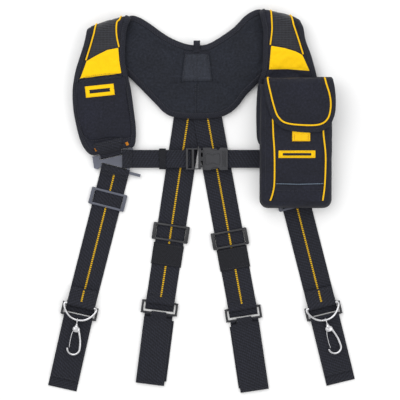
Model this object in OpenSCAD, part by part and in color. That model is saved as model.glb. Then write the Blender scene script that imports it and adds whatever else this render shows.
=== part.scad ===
// Padded suspender harness for a tool belt, laid flat with its shoulder pads folded
// over the back pad. +Z is up off the surface that it lies on, +Y points to the shoulders.

/* [Webbing] */
// Width of the four leg straps
strap_w = 50; // [48:1:52]
// Thickness of every webbing strap
web_t = 2; // [1.6:0.1:2.2]
// Width of the chest strap
chest_w = 32; // [30:1:34]

/* [Pads] */
// Thickness of the foam inside the pads
foam_t = 9; // [7:0.5:10]
// Width of the tape that binds the pad edges
binding_w = 5; // [3:0.5:7]
// Slope of the shoulder pads, from the fold down to their lower ends
pad_tilt = 3.65; // [3.4:0.05:3.8]

/* [Pouch] */
// Width of the pouch
pouch_w = 124; // [118:1:126]
// Height of the pouch
pouch_h = 216; // [208:1:218]
// Depth of the pouch, over its front
pouch_d = 32; // [26:1:34]

/* [Hardware] */
// Outer width of the slide adjusters and the belt-end rings
slider_w = 64; // [62:1:66]
// Wire radius of the D rings
ring_wire_r = 1.9; // [1.6:0.1:2]
// Wire radius of the snap hooks
hook_wire_r = 1.8; // [1.5:0.1:1.9]
// Length of the belt tongues
tongue_l = 129; // [124:1:134]

/* [Hidden] */
$fn = 32;
gap = 0.3;
sheet_t = 1.2;
edge_r = 3;

fabric = [0.12, 0.12, 0.14];
lining = [0.14, 0.15, 0.18];
webbing = [0.15, 0.15, 0.17];
yellow = [1, 0.78, 0.02];
plastic = [0.3, 0.31, 0.35];
black_plastic = [0.1, 0.1, 0.12];
steel = [0.8, 0.8, 0.82];

// The frame's origin is under the middle of the harness.
frame_shift = [0, -2, 0];

// Layers of the back pad, from the surface up.
shell_z = web_t + gap;
foam_z = shell_z + sheet_t + 0.02;
lining_z = foam_z + foam_t + 0.02;
yoke_top = lining_z + sheet_t;

// The shoulder fold: the line that the front turns about, and the plane between its halves.
fold_y = 345;
fold_z = 18;
fold_gap = 0.2;
fold_w = 4.6;

// Layers of a shoulder pad, over the tilted plane that its underside lies in.
pad_z0 = 5.7;
pad_y0 = 76;
pad_foam_z = sheet_t + 0.02;
pad_face_z = pad_foam_z + foam_t + 0.02;
pad_top = pad_face_z + sheet_t;

// Outline of the yoke: the neck edge from the right shoulder to the left, then the lower edge back.
yoke_points = [
    [171, 324], [138, 334], [103, 341], [76, 325], [54, 303], [15, 278], [-8, 274.5],
    [-30, 277.5], [-59, 290], [-92, 313], [-124, 330], [-160, 321], [-198, 309], [-176, 268],
    [-126, 220.5], [-82, 176], [-64, 158], [-47, 150.5], [-8, 147], [34, 151], [59, 165],
    [78, 189], [98, 209], [150, 262]];
left_pad_points = [
    [-124, 329], [-160, 321], [-198, 309], [-203, 281], [-213, 249], [-219, 229], [-224, 198],
    [-223, 165], [-218, 136], [-210, 107], [-199, 89], [-188, 84], [-172, 88], [-150, 93],
    [-130, 96.5], [-119, 99], [-115.5, 113], [-115.5, 131], [-118, 154], [-124, 198],
    [-129, 221], [-134, 248], [-133, 300]];
right_pad_points = [
    [103, 340], [109, 300], [108.5, 276], [107, 232], [100, 209], [97, 170], [97, 131],
    [99, 109], [107, 98], [119, 97], [130, 96.5], [150, 93], [172, 88], [187, 86], [195, 106],
    [201, 136], [204, 165], [205, 198], [201, 219], [191, 256], [181, 283], [177, 305],
    [171, 323], [138, 333]];
// The two shoulder fold edges, from the neck outwards.
left_fold = [[-126, 328.6], [-160, 320.6], [-196, 309]];
right_fold = [[105, 339.6], [138, 332.6], [169, 323.6]];

// Each leg: where its webbing starts, its angle from -Y, how far down its belt ring is, its
// tongue's angle, and its tongue's length.
leg_front_left = [[-150.7, 58], -14.3, 246, -12.6, tongue_l];
leg_front_right = [[150.7, 58], 14.3, 246, 13.7, tongue_l - 10];
leg_back_left = [[-16, 197], -8.6, 376, -7.2, tongue_l - 4];
leg_back_right = [[2, 197], 10.4, 388, 8.4, tongue_l - 2];

function catmull(a, b, c, d, t) =
    0.5 * (2 * b + (c - a) * t + (2 * a - 5 * b + 4 * c - d) * t * t
        + (3 * b - a - 3 * c + d) * t * t * t);
// A closed smooth curve through the points, with steps pieces between each pair.
function smooth(p, steps = 3) = let (n = len(p)) [
    for (i = [0:n - 1], k = [0:steps - 1])
        catmull(p[(i + n - 1) % n], p[i], p[(i + 1) % n], p[(i + 2) % n], k / steps)];
function unit(v) = v / norm(v);
// A closed curve moved sideways by d along its normals.
function moved(p, d) = let (n = len(p)) [
    for (i = [0:n - 1])
        let (t = unit(p[(i + 1) % n] - p[(i + n - 1) % n])) p[i] + d * [t[1], -t[0]]];
// A tube of radius r swept along points, closed into a ring if loop is true.
module wire(points, r, loop = false, sides = 10) {
    n = len(points);
    rings = [for (i = [0:n - 1])
        let (a = points[loop ? (i + n - 1) % n : max(i - 1, 0)],
            b = points[loop ? (i + 1) % n : min(i + 1, n - 1)],
            t = unit(b - a), up = [0, 0, 1], s = unit(cross(t, up)), u = cross(s, t))
        [for (k = [0:sides - 1])
            points[i] + r * (cos(360 * k / sides) * s + sin(360 * k / sides) * u)]];
    flat = [for (ring = rings, p = ring) p];
    last = loop ? n - 1 : n - 2;
    walls = [for (i = [0:last], k = [0:sides - 1])
        let (j = (i + 1) % n, m = (k + 1) % sides)
        [i * sides + k, i * sides + m, j * sides + m, j * sides + k]];
    ends = loop ? [] : [[for (k = [0:sides - 1]) sides - 1 - k],
        [for (k = [0:sides - 1]) (n - 1) * sides + k]];
    polyhedron(flat, concat(walls, ends));
}

// A flat slab with rounded corners, lying on z = 0 and running down -Y.
module slab(w, l, t, r = edge_r) {
    linear_extrude(t) rounded(w, l, r);
}
module rounded(w, l, r) {
    translate([-w / 2 + r, -l + r]) square([w - 2 * r, l - 2 * r]);
    translate([-w / 2, -l + r]) square([w, l - 2 * r]);
    translate([-w / 2 + r, -l]) square([w - 2 * r, l]);
    for (x = [-w / 2 + r, w / 2 - r], y = [-l + r, -r]) translate([x, y]) circle(r);
}
module frame_block(w, l, t, bar, r = edge_r) {
    linear_extrude(t) difference() {
        rounded(w, l, r);
        translate([0, -bar]) translate([-w / 2 + bar, -l + 2 * bar]) square([w - 2 * bar, l - 2 * bar]);
    }
}

module whole() { translate(frame_shift) children(); }
// Places its children on the tilted plane that a shoulder pad's underside lies in.
module on_pad(z = 0) {
    whole() translate([0, pad_y0, pad_z0]) rotate([pad_tilt, 0, 0]) translate([0, -pad_y0, z]) children();
}
// Places its children at a leg's start, running down -Y.
module on_leg(leg) { whole() translate([leg[0][0], leg[0][1], 0]) rotate([0, 0, leg[1]]) children(); }
// Places its children at a leg's belt ring, running down -Y along the tongue.
module on_tongue(leg) { on_leg(leg) translate([0, -leg[2], 0]) rotate([0, 0, leg[3] - leg[1]]) children(); }

// ---- Back pad ----
module outline(points, inset = 0) { polygon(moved(smooth(points), inset)); }
module ring_of(points, w) {
    difference() {
        outline(points);
        outline(points, w);
    }
}
module layer(points, w, z, t) { translate([0, 0, z]) linear_extrude(t) outline(points, w); }

// The strip of a fold, w wide, along its three points.
module fold_strip(f, w) {
    polygon(concat(f, [for (i = [2:-1:0]) f[i] - [0, w]]));
}

module yoke_shell() { color(fabric) whole() layer(yoke_points, -binding_w, shell_z, sheet_t); }
module yoke_foam() {
    color("dimgray") whole() layer(yoke_points, -binding_w, foam_z, foam_t);
}
module yoke_lining() {
    color(lining) whole() layer(yoke_points, -binding_w, lining_z, sheet_t);
}
// The tape round the edge, with the back half of each shoulder fold.
module yoke_binding() {
    color(fabric) whole() {
        translate([0, 0, shell_z]) linear_extrude(yoke_top - shell_z) difference() {
            outline(yoke_points);
            outline(yoke_points, -binding_w + 0.02);
        }
        for (f = [left_fold, right_fold])
            translate([0, 0, yoke_top]) linear_extrude(fold_z - fold_gap - yoke_top) fold_strip(f, fold_w);
    }
}
patch_top = [-8, 262];
module yoke_patch() {
    color(lining) whole() translate([patch_top[0], patch_top[1], yoke_top]) linear_extrude(web_t)
        polygon([[-21, 0], [21, 0], [27, -50], [-27, -50]]);
}
module hang_loop() {
    color(webbing) whole() translate([-8, 270, 0]) difference() {
        translate([-6, 0, yoke_top]) cube([12, 13, 5]);
        translate([-7, 3, yoke_top + 1]) cube([14, 8, 2.8]);
    }
}

// ---- Leg straps ----
loop_r = 3.7;
bar_r = 2;
bar_z = 3.8;
slide_z = web_t + gap;
// A leg's webbing, which ends in a loop round the belt ring's upper bar.
module leg_web(leg) {
    difference() {
        union() {
            on_leg(leg) translate([-strap_w / 2, -leg[2], 0]) cube([strap_w, leg[2], web_t]);
            on_tongue(leg) translate([-strap_w / 2, 0, bar_z]) rotate([0, 90, 0]) cylinder(r = loop_r, h = strap_w);
        }
        on_tongue(leg) translate([-strap_w, 0, bar_z]) rotate([0, 90, 0])
            cylinder(r = bar_r + 0.02, h = 2 * strap_w);
    }
}
module back_strap_left() { color(webbing) leg_web(leg_back_left); }
// The right strap starts below the left one, so that the two don't share the space where they cross.
module back_strap_right() {
    color(webbing) difference() {
        leg_web(leg_back_right);
        on_leg(leg_back_left) translate([-strap_w / 2 - 0.05, -leg_back_left[2], -1])
            cube([strap_w + 0.1, 600, 4]);
    }
}

ring_l = 20;
// A belt ring: a bar across each end, joined by rails outside the webbing.
module belt_ring() {
    rail_x = slider_w / 2 - bar_r;
    for (y = [0, -ring_l]) translate([-rail_x, y, bar_z]) rotate([0, 90, 0]) cylinder(r = bar_r, h = 2 * rail_x);
    for (x = [-rail_x, rail_x]) {
        translate([x, 0, bar_z]) rotate([90, 0, 0]) cylinder(r = bar_r, h = ring_l);
        for (y = [0, -ring_l]) translate([x, y, bar_z]) sphere(bar_r);
    }
}
module back_rings() {
    color(black_plastic) for (leg = [leg_back_left, leg_back_right]) on_tongue(leg) belt_ring();
}
module front_rings() {
    color(black_plastic) for (leg = [leg_front_left, leg_front_right]) on_tongue(leg) belt_ring();
}

// The lower tongue lies on the surface and is wrapped round the ring's lower bar.
tongue_t = 1.6;
tongue_top = tongue_t + gap;
module under_tongue(l) {
    difference() {
        union() {
            translate([0, -ring_l, 0]) slab(strap_w, l, tongue_t);
            end_tube(-strap_w / 2, 11);
            end_tube(strap_w / 2 - 11, 11);
        }
        translate([-strap_w, -ring_l, bar_z]) rotate([0, 90, 0]) cylinder(r = bar_r + 0.02, h = 2 * strap_w);
        translate([-14, -ring_l - 4.3, -1]) cube([28, 4.4, 4]);
    }
}
module end_tube(x, l) { translate([x, -ring_l, bar_z]) rotate([0, 90, 0]) cylinder(r = loop_r, h = l); }
// The upper tongue turns on the middle of the lower bar and closes down on the lower tongue.
module upper_tongue(l) {
    half = strap_w / 2 - 11.4;
    difference() {
        union() {
            translate([0, -ring_l - 5, tongue_top]) slab(strap_w, l - 5, tongue_t);
            translate([-half, -ring_l - 8, tongue_top]) cube([2 * half, 8, tongue_t]);
            end_tube(-half, 2 * half);
        }
        translate([-strap_w, -ring_l, bar_z]) rotate([0, 90, 0]) cylinder(r = bar_r + 0.1, h = 2 * strap_w);
        translate([-strap_w, -ring_l - 20, -1]) cube([2 * strap_w, 40, tongue_top + 0.98]);
    }
}
module back_under_tongues() {
    color(webbing) for (leg = [leg_back_left, leg_back_right]) on_tongue(leg) under_tongue(leg[4] - 8);
}
module back_tongue_left() { color(webbing) on_tongue(leg_back_left) upper_tongue(leg_back_left[4]); }
module back_tongue_right() { color(webbing) on_tongue(leg_back_right) upper_tongue(leg_back_right[4]); }
module front_tongues() {
    color(webbing) for (leg = [leg_front_left, leg_front_right]) on_tongue(leg) difference() {
        union() {
            translate([0, -ring_l, 0]) slab(strap_w, leg[4], tongue_t);
            translate([0, -ring_l, tongue_t]) slab(strap_w, leg[4] - 14, tongue_t + gap);
            end_tube(-strap_w / 2, strap_w);
        }
        translate([-strap_w, -ring_l, bar_z]) rotate([0, 90, 0]) cylinder(r = bar_r + 0.02, h = 2 * strap_w);
    }
}

// ---- Slide adjusters and keepers ----
slider_l = 30;
slider_bar = 4;
// A frame whose end bars pass over the webbing, on rails that stand beside it.
module slider() {
    translate([0, slider_l / 2, slide_z]) frame_block(slider_w, slider_l, 3.4, slider_bar);
    for (x = [-1, 1]) translate([x * (slider_w - slider_bar) / 2 - slider_bar / 2, -slider_l / 2 + edge_r, 0.3])
        cube([slider_bar, slider_l - 2 * edge_r, slide_z]);
}
slider_down = 54;
back_slider_down = 253;
module slider_on(leg, down) { on_leg(leg) translate([0, -down, 0]) slider(); }
module back_slider_left() { color(black_plastic) slider_on(leg_back_left, back_slider_down); }
module back_slider_right() { color(black_plastic) slider_on(leg_back_right, back_slider_down + 12); }
module front_slider_left() { color(plastic) slider_on(leg_front_left, slider_down); }
module front_slider_right() { color(plastic) slider_on(leg_front_right, slider_down); }
keeper_l = 38;
keeper_down = 292;
// An open-backed elastic band that the webbing slides in.
module leg_keeper() {
    difference() {
        translate([-strap_w / 2 - 1.9, -keeper_l / 2, 0.2]) cube([strap_w + 3.8, keeper_l, web_t + gap + 1.2]);
        translate([-strap_w / 2 - gap, -keeper_l, -1]) cube([strap_w + 2 * gap, 2 * keeper_l, web_t + gap + 1]);
    }
}
module keeper_on(leg, down) { color(webbing) on_leg(leg) translate([0, -down, 0]) leg_keeper(); }
module back_keeper_left() { keeper_on(leg_back_left, keeper_down); }
module back_keeper_right() { keeper_on(leg_back_right, keeper_down + 8); }

// ---- Shoulder pads ----
module pad_shell(p) { color(fabric) on_pad() layer(p, -binding_w, 0, sheet_t); }
module pad_foam(p) { color("dimgray") on_pad() layer(p, -binding_w, pad_foam_z, foam_t); }
module pad_face(p) { color(fabric) on_pad() layer(p, -binding_w, pad_face_z, sheet_t); }
// The tape round a shoulder pad, with the front half of its fold.
module pad_binding(p, f) {
    color(fabric) {
        on_pad() linear_extrude(pad_top) difference() {
            outline(p);
            outline(p, -binding_w + 0.02);
        }
        whole() difference() {
            translate([0, 0, fold_z + fold_gap]) linear_extrude(8) difference() {
                fold_strip(f, fold_w);
                outline(p, -binding_w + 0.3);
            }
            translate([0, pad_y0, pad_z0]) rotate([pad_tilt, 0, 0]) translate([-400, -pad_y0, 0.5])
                cube([800, 500, 60]);
        }
    }
}
module pad_shell_left() { pad_shell(left_pad_points); }
module pad_foam_left() { pad_foam(left_pad_points); }
module pad_face_left() { pad_face(left_pad_points); }
module pad_binding_left() { pad_binding(left_pad_points, left_fold); }
module pad_shell_right() { pad_shell(right_pad_points); }
module pad_foam_right() { pad_foam(right_pad_points); }
module pad_face_right() { pad_face(right_pad_points); }
module pad_binding_right() { pad_binding(right_pad_points, right_fold); }

panel_t = 0.8;
left_mesh = [[-181, 309], [-187, 289], [-193, 269], [-198.5, 250], [-182, 259.5], [-164, 268.4],
    [-146, 272], [-149.5, 292], [-149.5, 311]];
right_mesh = [[124.6, 328], [155, 320], [164.5, 291], [173.5, 261.5], [164, 266], [145, 272],
    [122.5, 276], [126, 300]];
left_accent = [[-200, 247.5], [-182, 257.3], [-164, 266.2], [-145, 269.8], [-143, 247], [-139.7, 226.6],
    [-175, 221], [-211, 217.7]];
right_accent = [[118, 233], [121.6, 273.6], [145, 269.6], [165, 263.4], [176, 257.3], [188.5, 230.5], [150, 226]];
module mesh_panels() {
    color(lining) on_pad(pad_top + 0.01) for (p = [left_mesh, right_mesh]) linear_extrude(panel_t) polygon(p);
}
module accent_panels() {
    color(yellow) on_pad(pad_top + 0.01) for (p = [left_accent, right_accent]) linear_extrude(panel_t) polygon(p);
}
// Flat strips of piping along the mesh panels' long edges.
piping_w = 3;
module strip(points, w, t) {
    n = len(points);
    side = [for (i = [0:n - 1])
        let (d = unit(points[min(i + 1, n - 1)] - points[max(i - 1, 0)])) [d[1], -d[0]] * w / 2];
    linear_extrude(t) polygon(concat(points + side, [for (i = [n - 1:-1:0]) points[i] - side[i]]));
}
module pad_pipings() {
    color(yellow) on_pad(pad_top + 0.01) {
        strip([[-183, 311], [-189, 289], [-195, 268.6], [-201.2, 249]], piping_w, 1.6);
        strip([[-142, 317], [-147.6, 311], [-147.6, 292], [-143.6, 271.8]], piping_w, 1.6);
        strip([[121.6, 329], [122.6, 315], [122.8, 300], [120, 275.6]], piping_w, 1.6);
        strip([[157.6, 319], [167.3, 290.5], [177.2, 259.3]], piping_w, 1.6);
    }
}
pocket_points = [[-212, 213], [-139, 221.5], [-132, 190], [-126, 150], [-124, 130], [-128, 116],
    [-160, 116.5], [-190, 112], [-205, 122], [-215, 150], [-217, 185]];
module patch_pocket() { color(fabric) on_pad(pad_top + 0.01) linear_extrude(1.6) polygon(pocket_points); }
module name_patch() {
    color(yellow) on_pad(pad_top + 1.62) translate([-177, 196, 0]) rotate([0, 0, 6])
        translate([-26, -10.5, 0]) cube([52, 21, 0.8]);
}

// ---- Three-way links between pad, leg strap and chest strap ----
link_z = 2.6;
link_t = 4.4;
link_bar = 5;
wrap_top = 9.2;
// The bar that the pad's webbing goes round, and the angle that it lies at.
top_bar = [-155, 85.5];
top_bar_turn = 13;
side_bar_x = -130.7;
module on_top_bar() { translate([top_bar[0], top_bar[1], 0]) rotate([0, 0, top_bar_turn]) children(); }
module on_low_bar() {
    translate([leg_front_left[0][0], leg_front_left[0][1], 0]) rotate([0, 0, leg_front_left[1]]) children();
}
// Three bars round a plate, with a slot beside each bar for the webbing to go through.
module strap_link() {
    color(plastic) whole() translate([0, 0, link_z]) linear_extrude(link_t) {
        on_top_bar() translate([-34, -link_bar / 2]) square([70, link_bar]);
        on_low_bar() translate([-35, -link_bar / 2]) square([80, link_bar]);
        translate([side_bar_x, 52]) square([link_bar, 40]);
        polygon([[-191, 80.5], [-184, 82], [-177, 74.3], [-137.6, 83.4], [-139.3, 88], [-134.6, 90],
            [-134.6, 60.1], [-173.9, 70.1], [-181, 58], [-188, 60]]);
    }
}
module strap_link_left() { strap_link(); }
module strap_link_right() { mirror([1, 0, 0]) strap_link(); }
// A block of webbing layers round a bar, w wide, from y0 to y1 across the bar.
module wrap(w, y0, y1, z0, hole0, hole1) {
    difference() {
        translate([-w / 2, y0, z0]) cube([w, y1 - y0, wrap_top - z0]);
        translate([-w, hole0, link_z - 0.2]) cube([2 * w, hole1 - hole0, link_t + 0.25]);
    }
}
// The webbing that holds each link to the lower end of its pad.
module pad_loop() {
    whole() on_top_bar() translate([-3.6, 0, 0]) {
        wrap(36.8, -5.2, 5, 0.4, -2.8, 2.8);
        translate([-18.4, 2.8, wrap_top - 1]) cube([36.8, 2.2, 11.4]);
    }
    on_pad(pad_top + 0.01) linear_extrude(web_t)
        polygon([[-177.1, 83.5], [-141, 92], [-131, 100], [-131, 110.5], [-162, 111.5], [-178, 104], [-182, 92]]);
}
module pad_loops() {
    color(webbing) {
        pad_loop();
        mirror([1, 0, 0]) pad_loop();
    }
}

// ---- Front straps, with a seat for the D ring's bar over the belt ring ----
d_z = 8.6;
saddle_w = strap_w - 2;
module saddle() {
    base_z = bar_z + bar_r + 0.6;
    translate([-saddle_w / 2, -4.2, base_z]) cube([saddle_w, 8.4, d_z - base_z + 3.6]);
}
module front_strap_left() { front_leg_strap(leg_front_left); }
module front_strap_right() { front_leg_strap(leg_front_right); }
module front_leg_strap(leg) {
    side = leg[0][0] < 0 ? 0 : 1;
    color(webbing) difference() {
        union() {
            leg_web(leg);
            on_leg(leg) wrap(strap_w, -8, 5.2, 0, -2.8, 2.9);
            on_tongue(leg) saddle();
        }
        on_tongue(leg) translate([-strap_w, 0, d_z]) rotate([0, 90, 0])
            cylinder(r = ring_wire_r + 0.1, h = 2 * strap_w);
        whole() mirror([side, 0, 0]) translate([side_bar_x - 0.4, 50, link_z - 0.2])
            cube([link_bar + 0.8, 45, link_t + 0.25]);
    }
}

// ---- D rings and snap hooks ----
d_half = 29;
d_drop = 26;
d_rise = 1.6;
function d_arc(n = 20) = [for (i = [0:n]) let (a = 180 * i / n)
    [-d_half * cos(a), -d_drop * sin(a), d_z + d_rise * sin(a)]];
// A D of round wire: a straight bar across the strap and an arc below it.
module d_ring_left() { d_ring_wire(leg_front_left); }
module d_ring_right() { d_ring_wire(leg_front_right); }
module d_ring_wire(leg) {
    bar = [for (i = [1:9]) [d_half - 2 * d_half * i / 10, 0, d_z]];
    color(steel) on_tongue(leg) wire(concat(d_arc(), bar), ring_wire_r, true);
}

eye_y = -d_drop - 1.2;
eye_z = d_z + d_rise + 0.1;
eye_in = 3.4;
eye_out = 5;
shank_r = 1.8;
hook_y = eye_y - eye_out - 1.2;
// How far the hooks have swung round on their rings.
hook_turn = 5.3;
module on_hook(leg, y = 0) {
    on_tongue(leg) translate([0, -d_drop, eye_z]) rotate([0, 0, hook_turn]) translate([0, d_drop + y, 0]) children();
}
module hook_eye(leg) {
    color(steel) on_hook(leg) {
        translate([-1.7, eye_y, 0]) rotate([0, 90, 0]) difference() {
            cylinder(r = eye_out, h = 3.4);
            translate([0, 0, -1]) cylinder(r = eye_in, h = 6);
        }
        translate([0, eye_y - eye_in - 0.6, 0]) rotate([90, 0, 0]) cylinder(r = shank_r, h = 7);
        translate([0, hook_y - 4, 0]) rotate([90, 0, 0]) cylinder(r = 2.6, h = 1.6);
    }
}
module hook_eye_left() { hook_eye(leg_front_left); }
module hook_eye_right() { hook_eye(leg_front_right); }

head_r = 7;
rivet = [-2.5, -9.5];
bow = [-0.5, -42.5];
bow_r = 10.8;
// The hook's wire, from inside its head down the long side and round the nose.
function hook_path() = concat(
    [[3.5, -8, 0], [5.5, -14, 0], [7.6, -20, 0], [9.2, -27, 0], [10.1, -34, 0]],
    [for (a = [10:-15:-185]) [bow[0] + bow_r * cos(a), bow[1] + bow_r * sin(a), 0]]);
module hook(leg) {
    color(steel) on_hook(leg, hook_y) difference() {
        union() {
            wire(hook_path(), hook_wire_r);
            translate([0, -7, 0]) rotate_extrude($fn = 40) intersection() {
                circle(head_r);
                translate([0, -3.2]) square([10, 6.4]);
            }
            translate([0, -1, 0]) rotate([90, 0, 0]) cylinder(r = 3.4, h = 8);
        }
        translate([0, 1, 0]) rotate([90, 0, 0]) cylinder(r = shank_r + 0.1, h = 5.2);
        translate([0, -3.7, 0]) rotate([90, 0, 0]) cylinder(r = 2.9, h = 2.2);
        translate([rivet[0] - 4.3, rivet[1] - 8, -1.3]) cube([8.6, 12.3, 2.6]);
    }
    color(steel) on_hook(leg, hook_y) translate([rivet[0], rivet[1], -3.2]) cylinder(r = 1.3, h = 6.4);
}
module hook_left() { hook(leg_front_left); }
module hook_right() { hook(leg_front_right); }
gate_r = 1;
module hook_gate(leg) {
    color(steel) on_hook(leg, hook_y) difference() {
        union() {
            translate([rivet[0], rivet[1], -gate_r]) cylinder(r = 3.4, h = 2 * gate_r);
            wire([[rivet[0] - 1.8, rivet[1] - 2, 0], [-6.8, -20, 0], [-7.8, -30, 0], [-8.1, -41.5, 0]], gate_r);
        }
        translate([rivet[0], rivet[1], -5]) cylinder(r = 1.4, h = 10);
    }
}
module hook_gate_left() { hook_gate(leg_front_left); }
module hook_gate_right() { hook_gate(leg_front_right); }

// ---- Chest strap and buckle ----
chest_y = 76.4;
chest_z = 7.1;
chest_left = -138.9;
mouth_x = 2.5;
male_x = -27;
female_end = 46;
buckle_z = 2.6;
buckle_t = 11;
buckle_h = 39;
// Webbing from a link's side bar to x = end, on the left side.
module chest_web(end) {
    difference() {
        union() {
            translate([chest_left, chest_y - chest_w / 2, chest_z]) cube([end - chest_left, chest_w, web_t]);
            translate([side_bar_x - 3.4, 60.8, 0.4]) cube([13, 26.4, chest_z + web_t - 0.4]);
        }
        translate([side_bar_x - 0.4, 0, link_z - 0.2]) cube([link_bar + 0.8, 200, link_t + 0.25]);
    }
}
module chest_strap_left() { color(webbing) whole() chest_web(male_x + 9); }
module chest_strap_right() { color(webbing) whole() mirror([1, 0, 0]) chest_web(4 - female_end); }
module chest_keeper() {
    color(webbing) whole() translate([-68, chest_y, 0]) difference() {
        translate([-6, -chest_w / 2 - 2, chest_z - 1.4]) cube([12, chest_w + 4, web_t + 2.8]);
        translate([-7, -chest_w / 2 - 0.3, chest_z - gap]) cube([14, chest_w + 0.6, web_t + 0.6]);
    }
}
// Slotted frame with a guide plate that slides into the housing.
module buckle_male() {
    color(plastic) whole() translate([0, chest_y, 0]) {
        difference() {
            translate([male_x, -18.5, buckle_z + 0.5]) cube([26, 37, buckle_t - 1]);
            translate([male_x + 3.5, -chest_w / 2 - 0.4, buckle_z]) cube([6.5, chest_w + 0.8, buckle_t]);
            translate([male_x + 14, -chest_w / 2 - 0.4, buckle_z]) cube([7.5, chest_w + 0.8, buckle_t]);
            translate([male_x - 1, -chest_w / 2 - 0.4, chest_z - gap]) cube([16, chest_w + 0.8, web_t + 2 * gap]);
        }
        translate([mouth_x - 4, -3.5, buckle_z + 3.2]) cube([30, 7, buckle_t - 6.4]);
    }
}
// The two sprung arms whose heads stand in the housing's side windows.
module buckle_latches() {
    color(plastic) whole() translate([0, chest_y, buckle_z + 3.2]) for (s = [-1, 1])
        linear_extrude(buckle_t - 6.4) polygon([[mouth_x - 3.48, s * 11], [mouth_x - 3.48, s * 15], [mouth_x + 13, s * 14.8],
            [mouth_x + 14, s * 18.6], [mouth_x + 24, s * 17.6], [mouth_x + 29, s * 13], [mouth_x + 29, s * 11]]);
}
module buckle_female() {
    color(plastic) whole() translate([0, chest_y, 0]) difference() {
        translate([mouth_x, -buckle_h / 2, buckle_z]) cube([female_end - mouth_x, buckle_h, buckle_t]);
        translate([mouth_x - 1, -15.6, buckle_z + 2.2]) cube([32, 31.2, buckle_t - 4.4]);
        for (s = [-1, 1]) translate([mouth_x + 22, s * 22.5, buckle_z - 1]) cylinder(r = 8.6, h = buckle_t + 2);
        for (s = [-1, 1]) translate([mouth_x + 12.6, s * 17.5 - 3, buckle_z + 2.2]) cube([18, 6, buckle_t - 4.4]);
        translate([female_end - 8, -chest_w / 2 - 0.4, chest_z - gap]) cube([9, chest_w + 0.8, web_t + 2 * gap]);
    }
}

// ---- Pouch on the right shoulder pad ----
pouch_x = 164.5;
pouch_top = 208;
wall = 1.8;
back_t = 1.8;
pouch_z = pad_top + 2.2;
pouch_r = 14;
module on_pouch(z = 0) { on_pad(pouch_z + z) translate([pouch_x, pouch_top, 0]) children(); }
// A shape with a square top and round lower corners.
module pocket_shape(w, l, r) {
    translate([-w / 2, -l + r]) square([w, l - r]);
    translate([-w / 2 + r, -l]) square([w - 2 * r, r]);
    for (s = [-1, 1]) translate([s * (w / 2 - r), -l + r]) circle(r);
}
// The back panel runs on above the mouth, to where the flap is sewn on.
module pouch_back() {
    color(fabric) on_pouch() linear_extrude(back_t) {
        pocket_shape(pouch_w, pouch_h, pouch_r);
        translate([flap_x - flap_w / 2, -4]) square([flap_w, hinge_y + 3.6]);
    }
}
module pouch_body() {
    color(fabric) on_pouch(back_t + 0.02) difference() {
        linear_extrude(pouch_d - back_t) pocket_shape(pouch_w, pouch_h, pouch_r);
        translate([0, 1, -1]) linear_extrude(pouch_d - back_t - wall + 1)
            pocket_shape(pouch_w - 2 * wall, pouch_h - wall + 1, pouch_r - wall);
    }
}
flap_l = 92;
flap_w = 121;
flap_t = 2.2;
flap_x = 5;
hinge_y = 9;
flap_gap = 0.6;
// The flap: a front panel that hangs over the mouth, and the turned top that reaches the back panel.
module pouch_flap() {
    color(fabric) on_pouch() translate([flap_x, hinge_y, 0]) {
        translate([0, 0, pouch_d + flap_gap]) linear_extrude(flap_t) pocket_shape(flap_w, flap_l, 34);
        translate([-flap_w / 2, -flap_t, back_t + 0.4]) cube([flap_w, flap_t, pouch_d + flap_gap - back_t]);
    }
}
module flap_piping() {
    color(yellow) on_pouch(pouch_d + flap_gap + flap_t + 0.02) translate([flap_x, hinge_y - 8, 0])
        linear_extrude(1.4) difference() {
            pocket_shape(flap_w - 20, flap_l - 18, 26);
            translate([0, 1]) pocket_shape(flap_w - 26, flap_l - 20, 23);
        }
}
module pouch_pipings() {
    color(yellow) on_pouch(pouch_d + 0.04) {
        strip([[-40, -88], [-38, -140], [-38, -170], [-46, -204]], piping_w, 1.4);
        strip([[46, -88], [51, -140], [50, -170], [46, -204]], piping_w, 1.4);
    }
}
module pull_tab() { color(yellow) on_pouch(pouch_d + 0.04) translate([8, -89, 0]) slab(32, 20, 1.8, 2); }
module pouch_badge() { color(yellow) on_pouch(pouch_d + 0.04) translate([2, -121, 0]) slab(60, 14, 0.8, 2); }
module pouch_hem() { color(fabric) on_pouch(pouch_d + 0.04) translate([5, -165, 0]) slab(78, 36, 1.2, 2); }

yoke_shell();
yoke_foam();
yoke_lining();
yoke_binding();
yoke_patch();
hang_loop();
back_strap_left();
back_strap_right();
back_rings();
back_under_tongues();
back_tongue_left();
back_tongue_right();
back_slider_left();
back_slider_right();
back_keeper_left();
back_keeper_right();
pad_shell_left();
pad_foam_left();
pad_face_left();
pad_binding_left();
pad_shell_right();
pad_foam_right();
pad_face_right();
pad_binding_right();
mesh_panels();
accent_panels();
pad_pipings();
patch_pocket();
name_patch();
pad_loops();
strap_link_left();
strap_link_right();
front_strap_left();
front_strap_right();
front_slider_left();
front_slider_right();
front_rings();
front_tongues();
chest_strap_left();
chest_strap_right();
chest_keeper();
buckle_female();
buckle_male();
buckle_latches();
d_ring_left();
d_ring_right();
hook_eye_left();
hook_eye_right();
hook_left();
hook_right();
hook_gate_left();
hook_gate_right();
pouch_body();
pouch_back();
pouch_flap();
flap_piping();
pouch_pipings();
pull_tab();
pouch_badge();
pouch_hem();
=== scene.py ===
"""Padded suspenders for a tool belt, lying flat: the looks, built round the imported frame."""
import math

import bmesh
import bpy
import numpy as np
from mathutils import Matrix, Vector, geometry, noise


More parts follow.
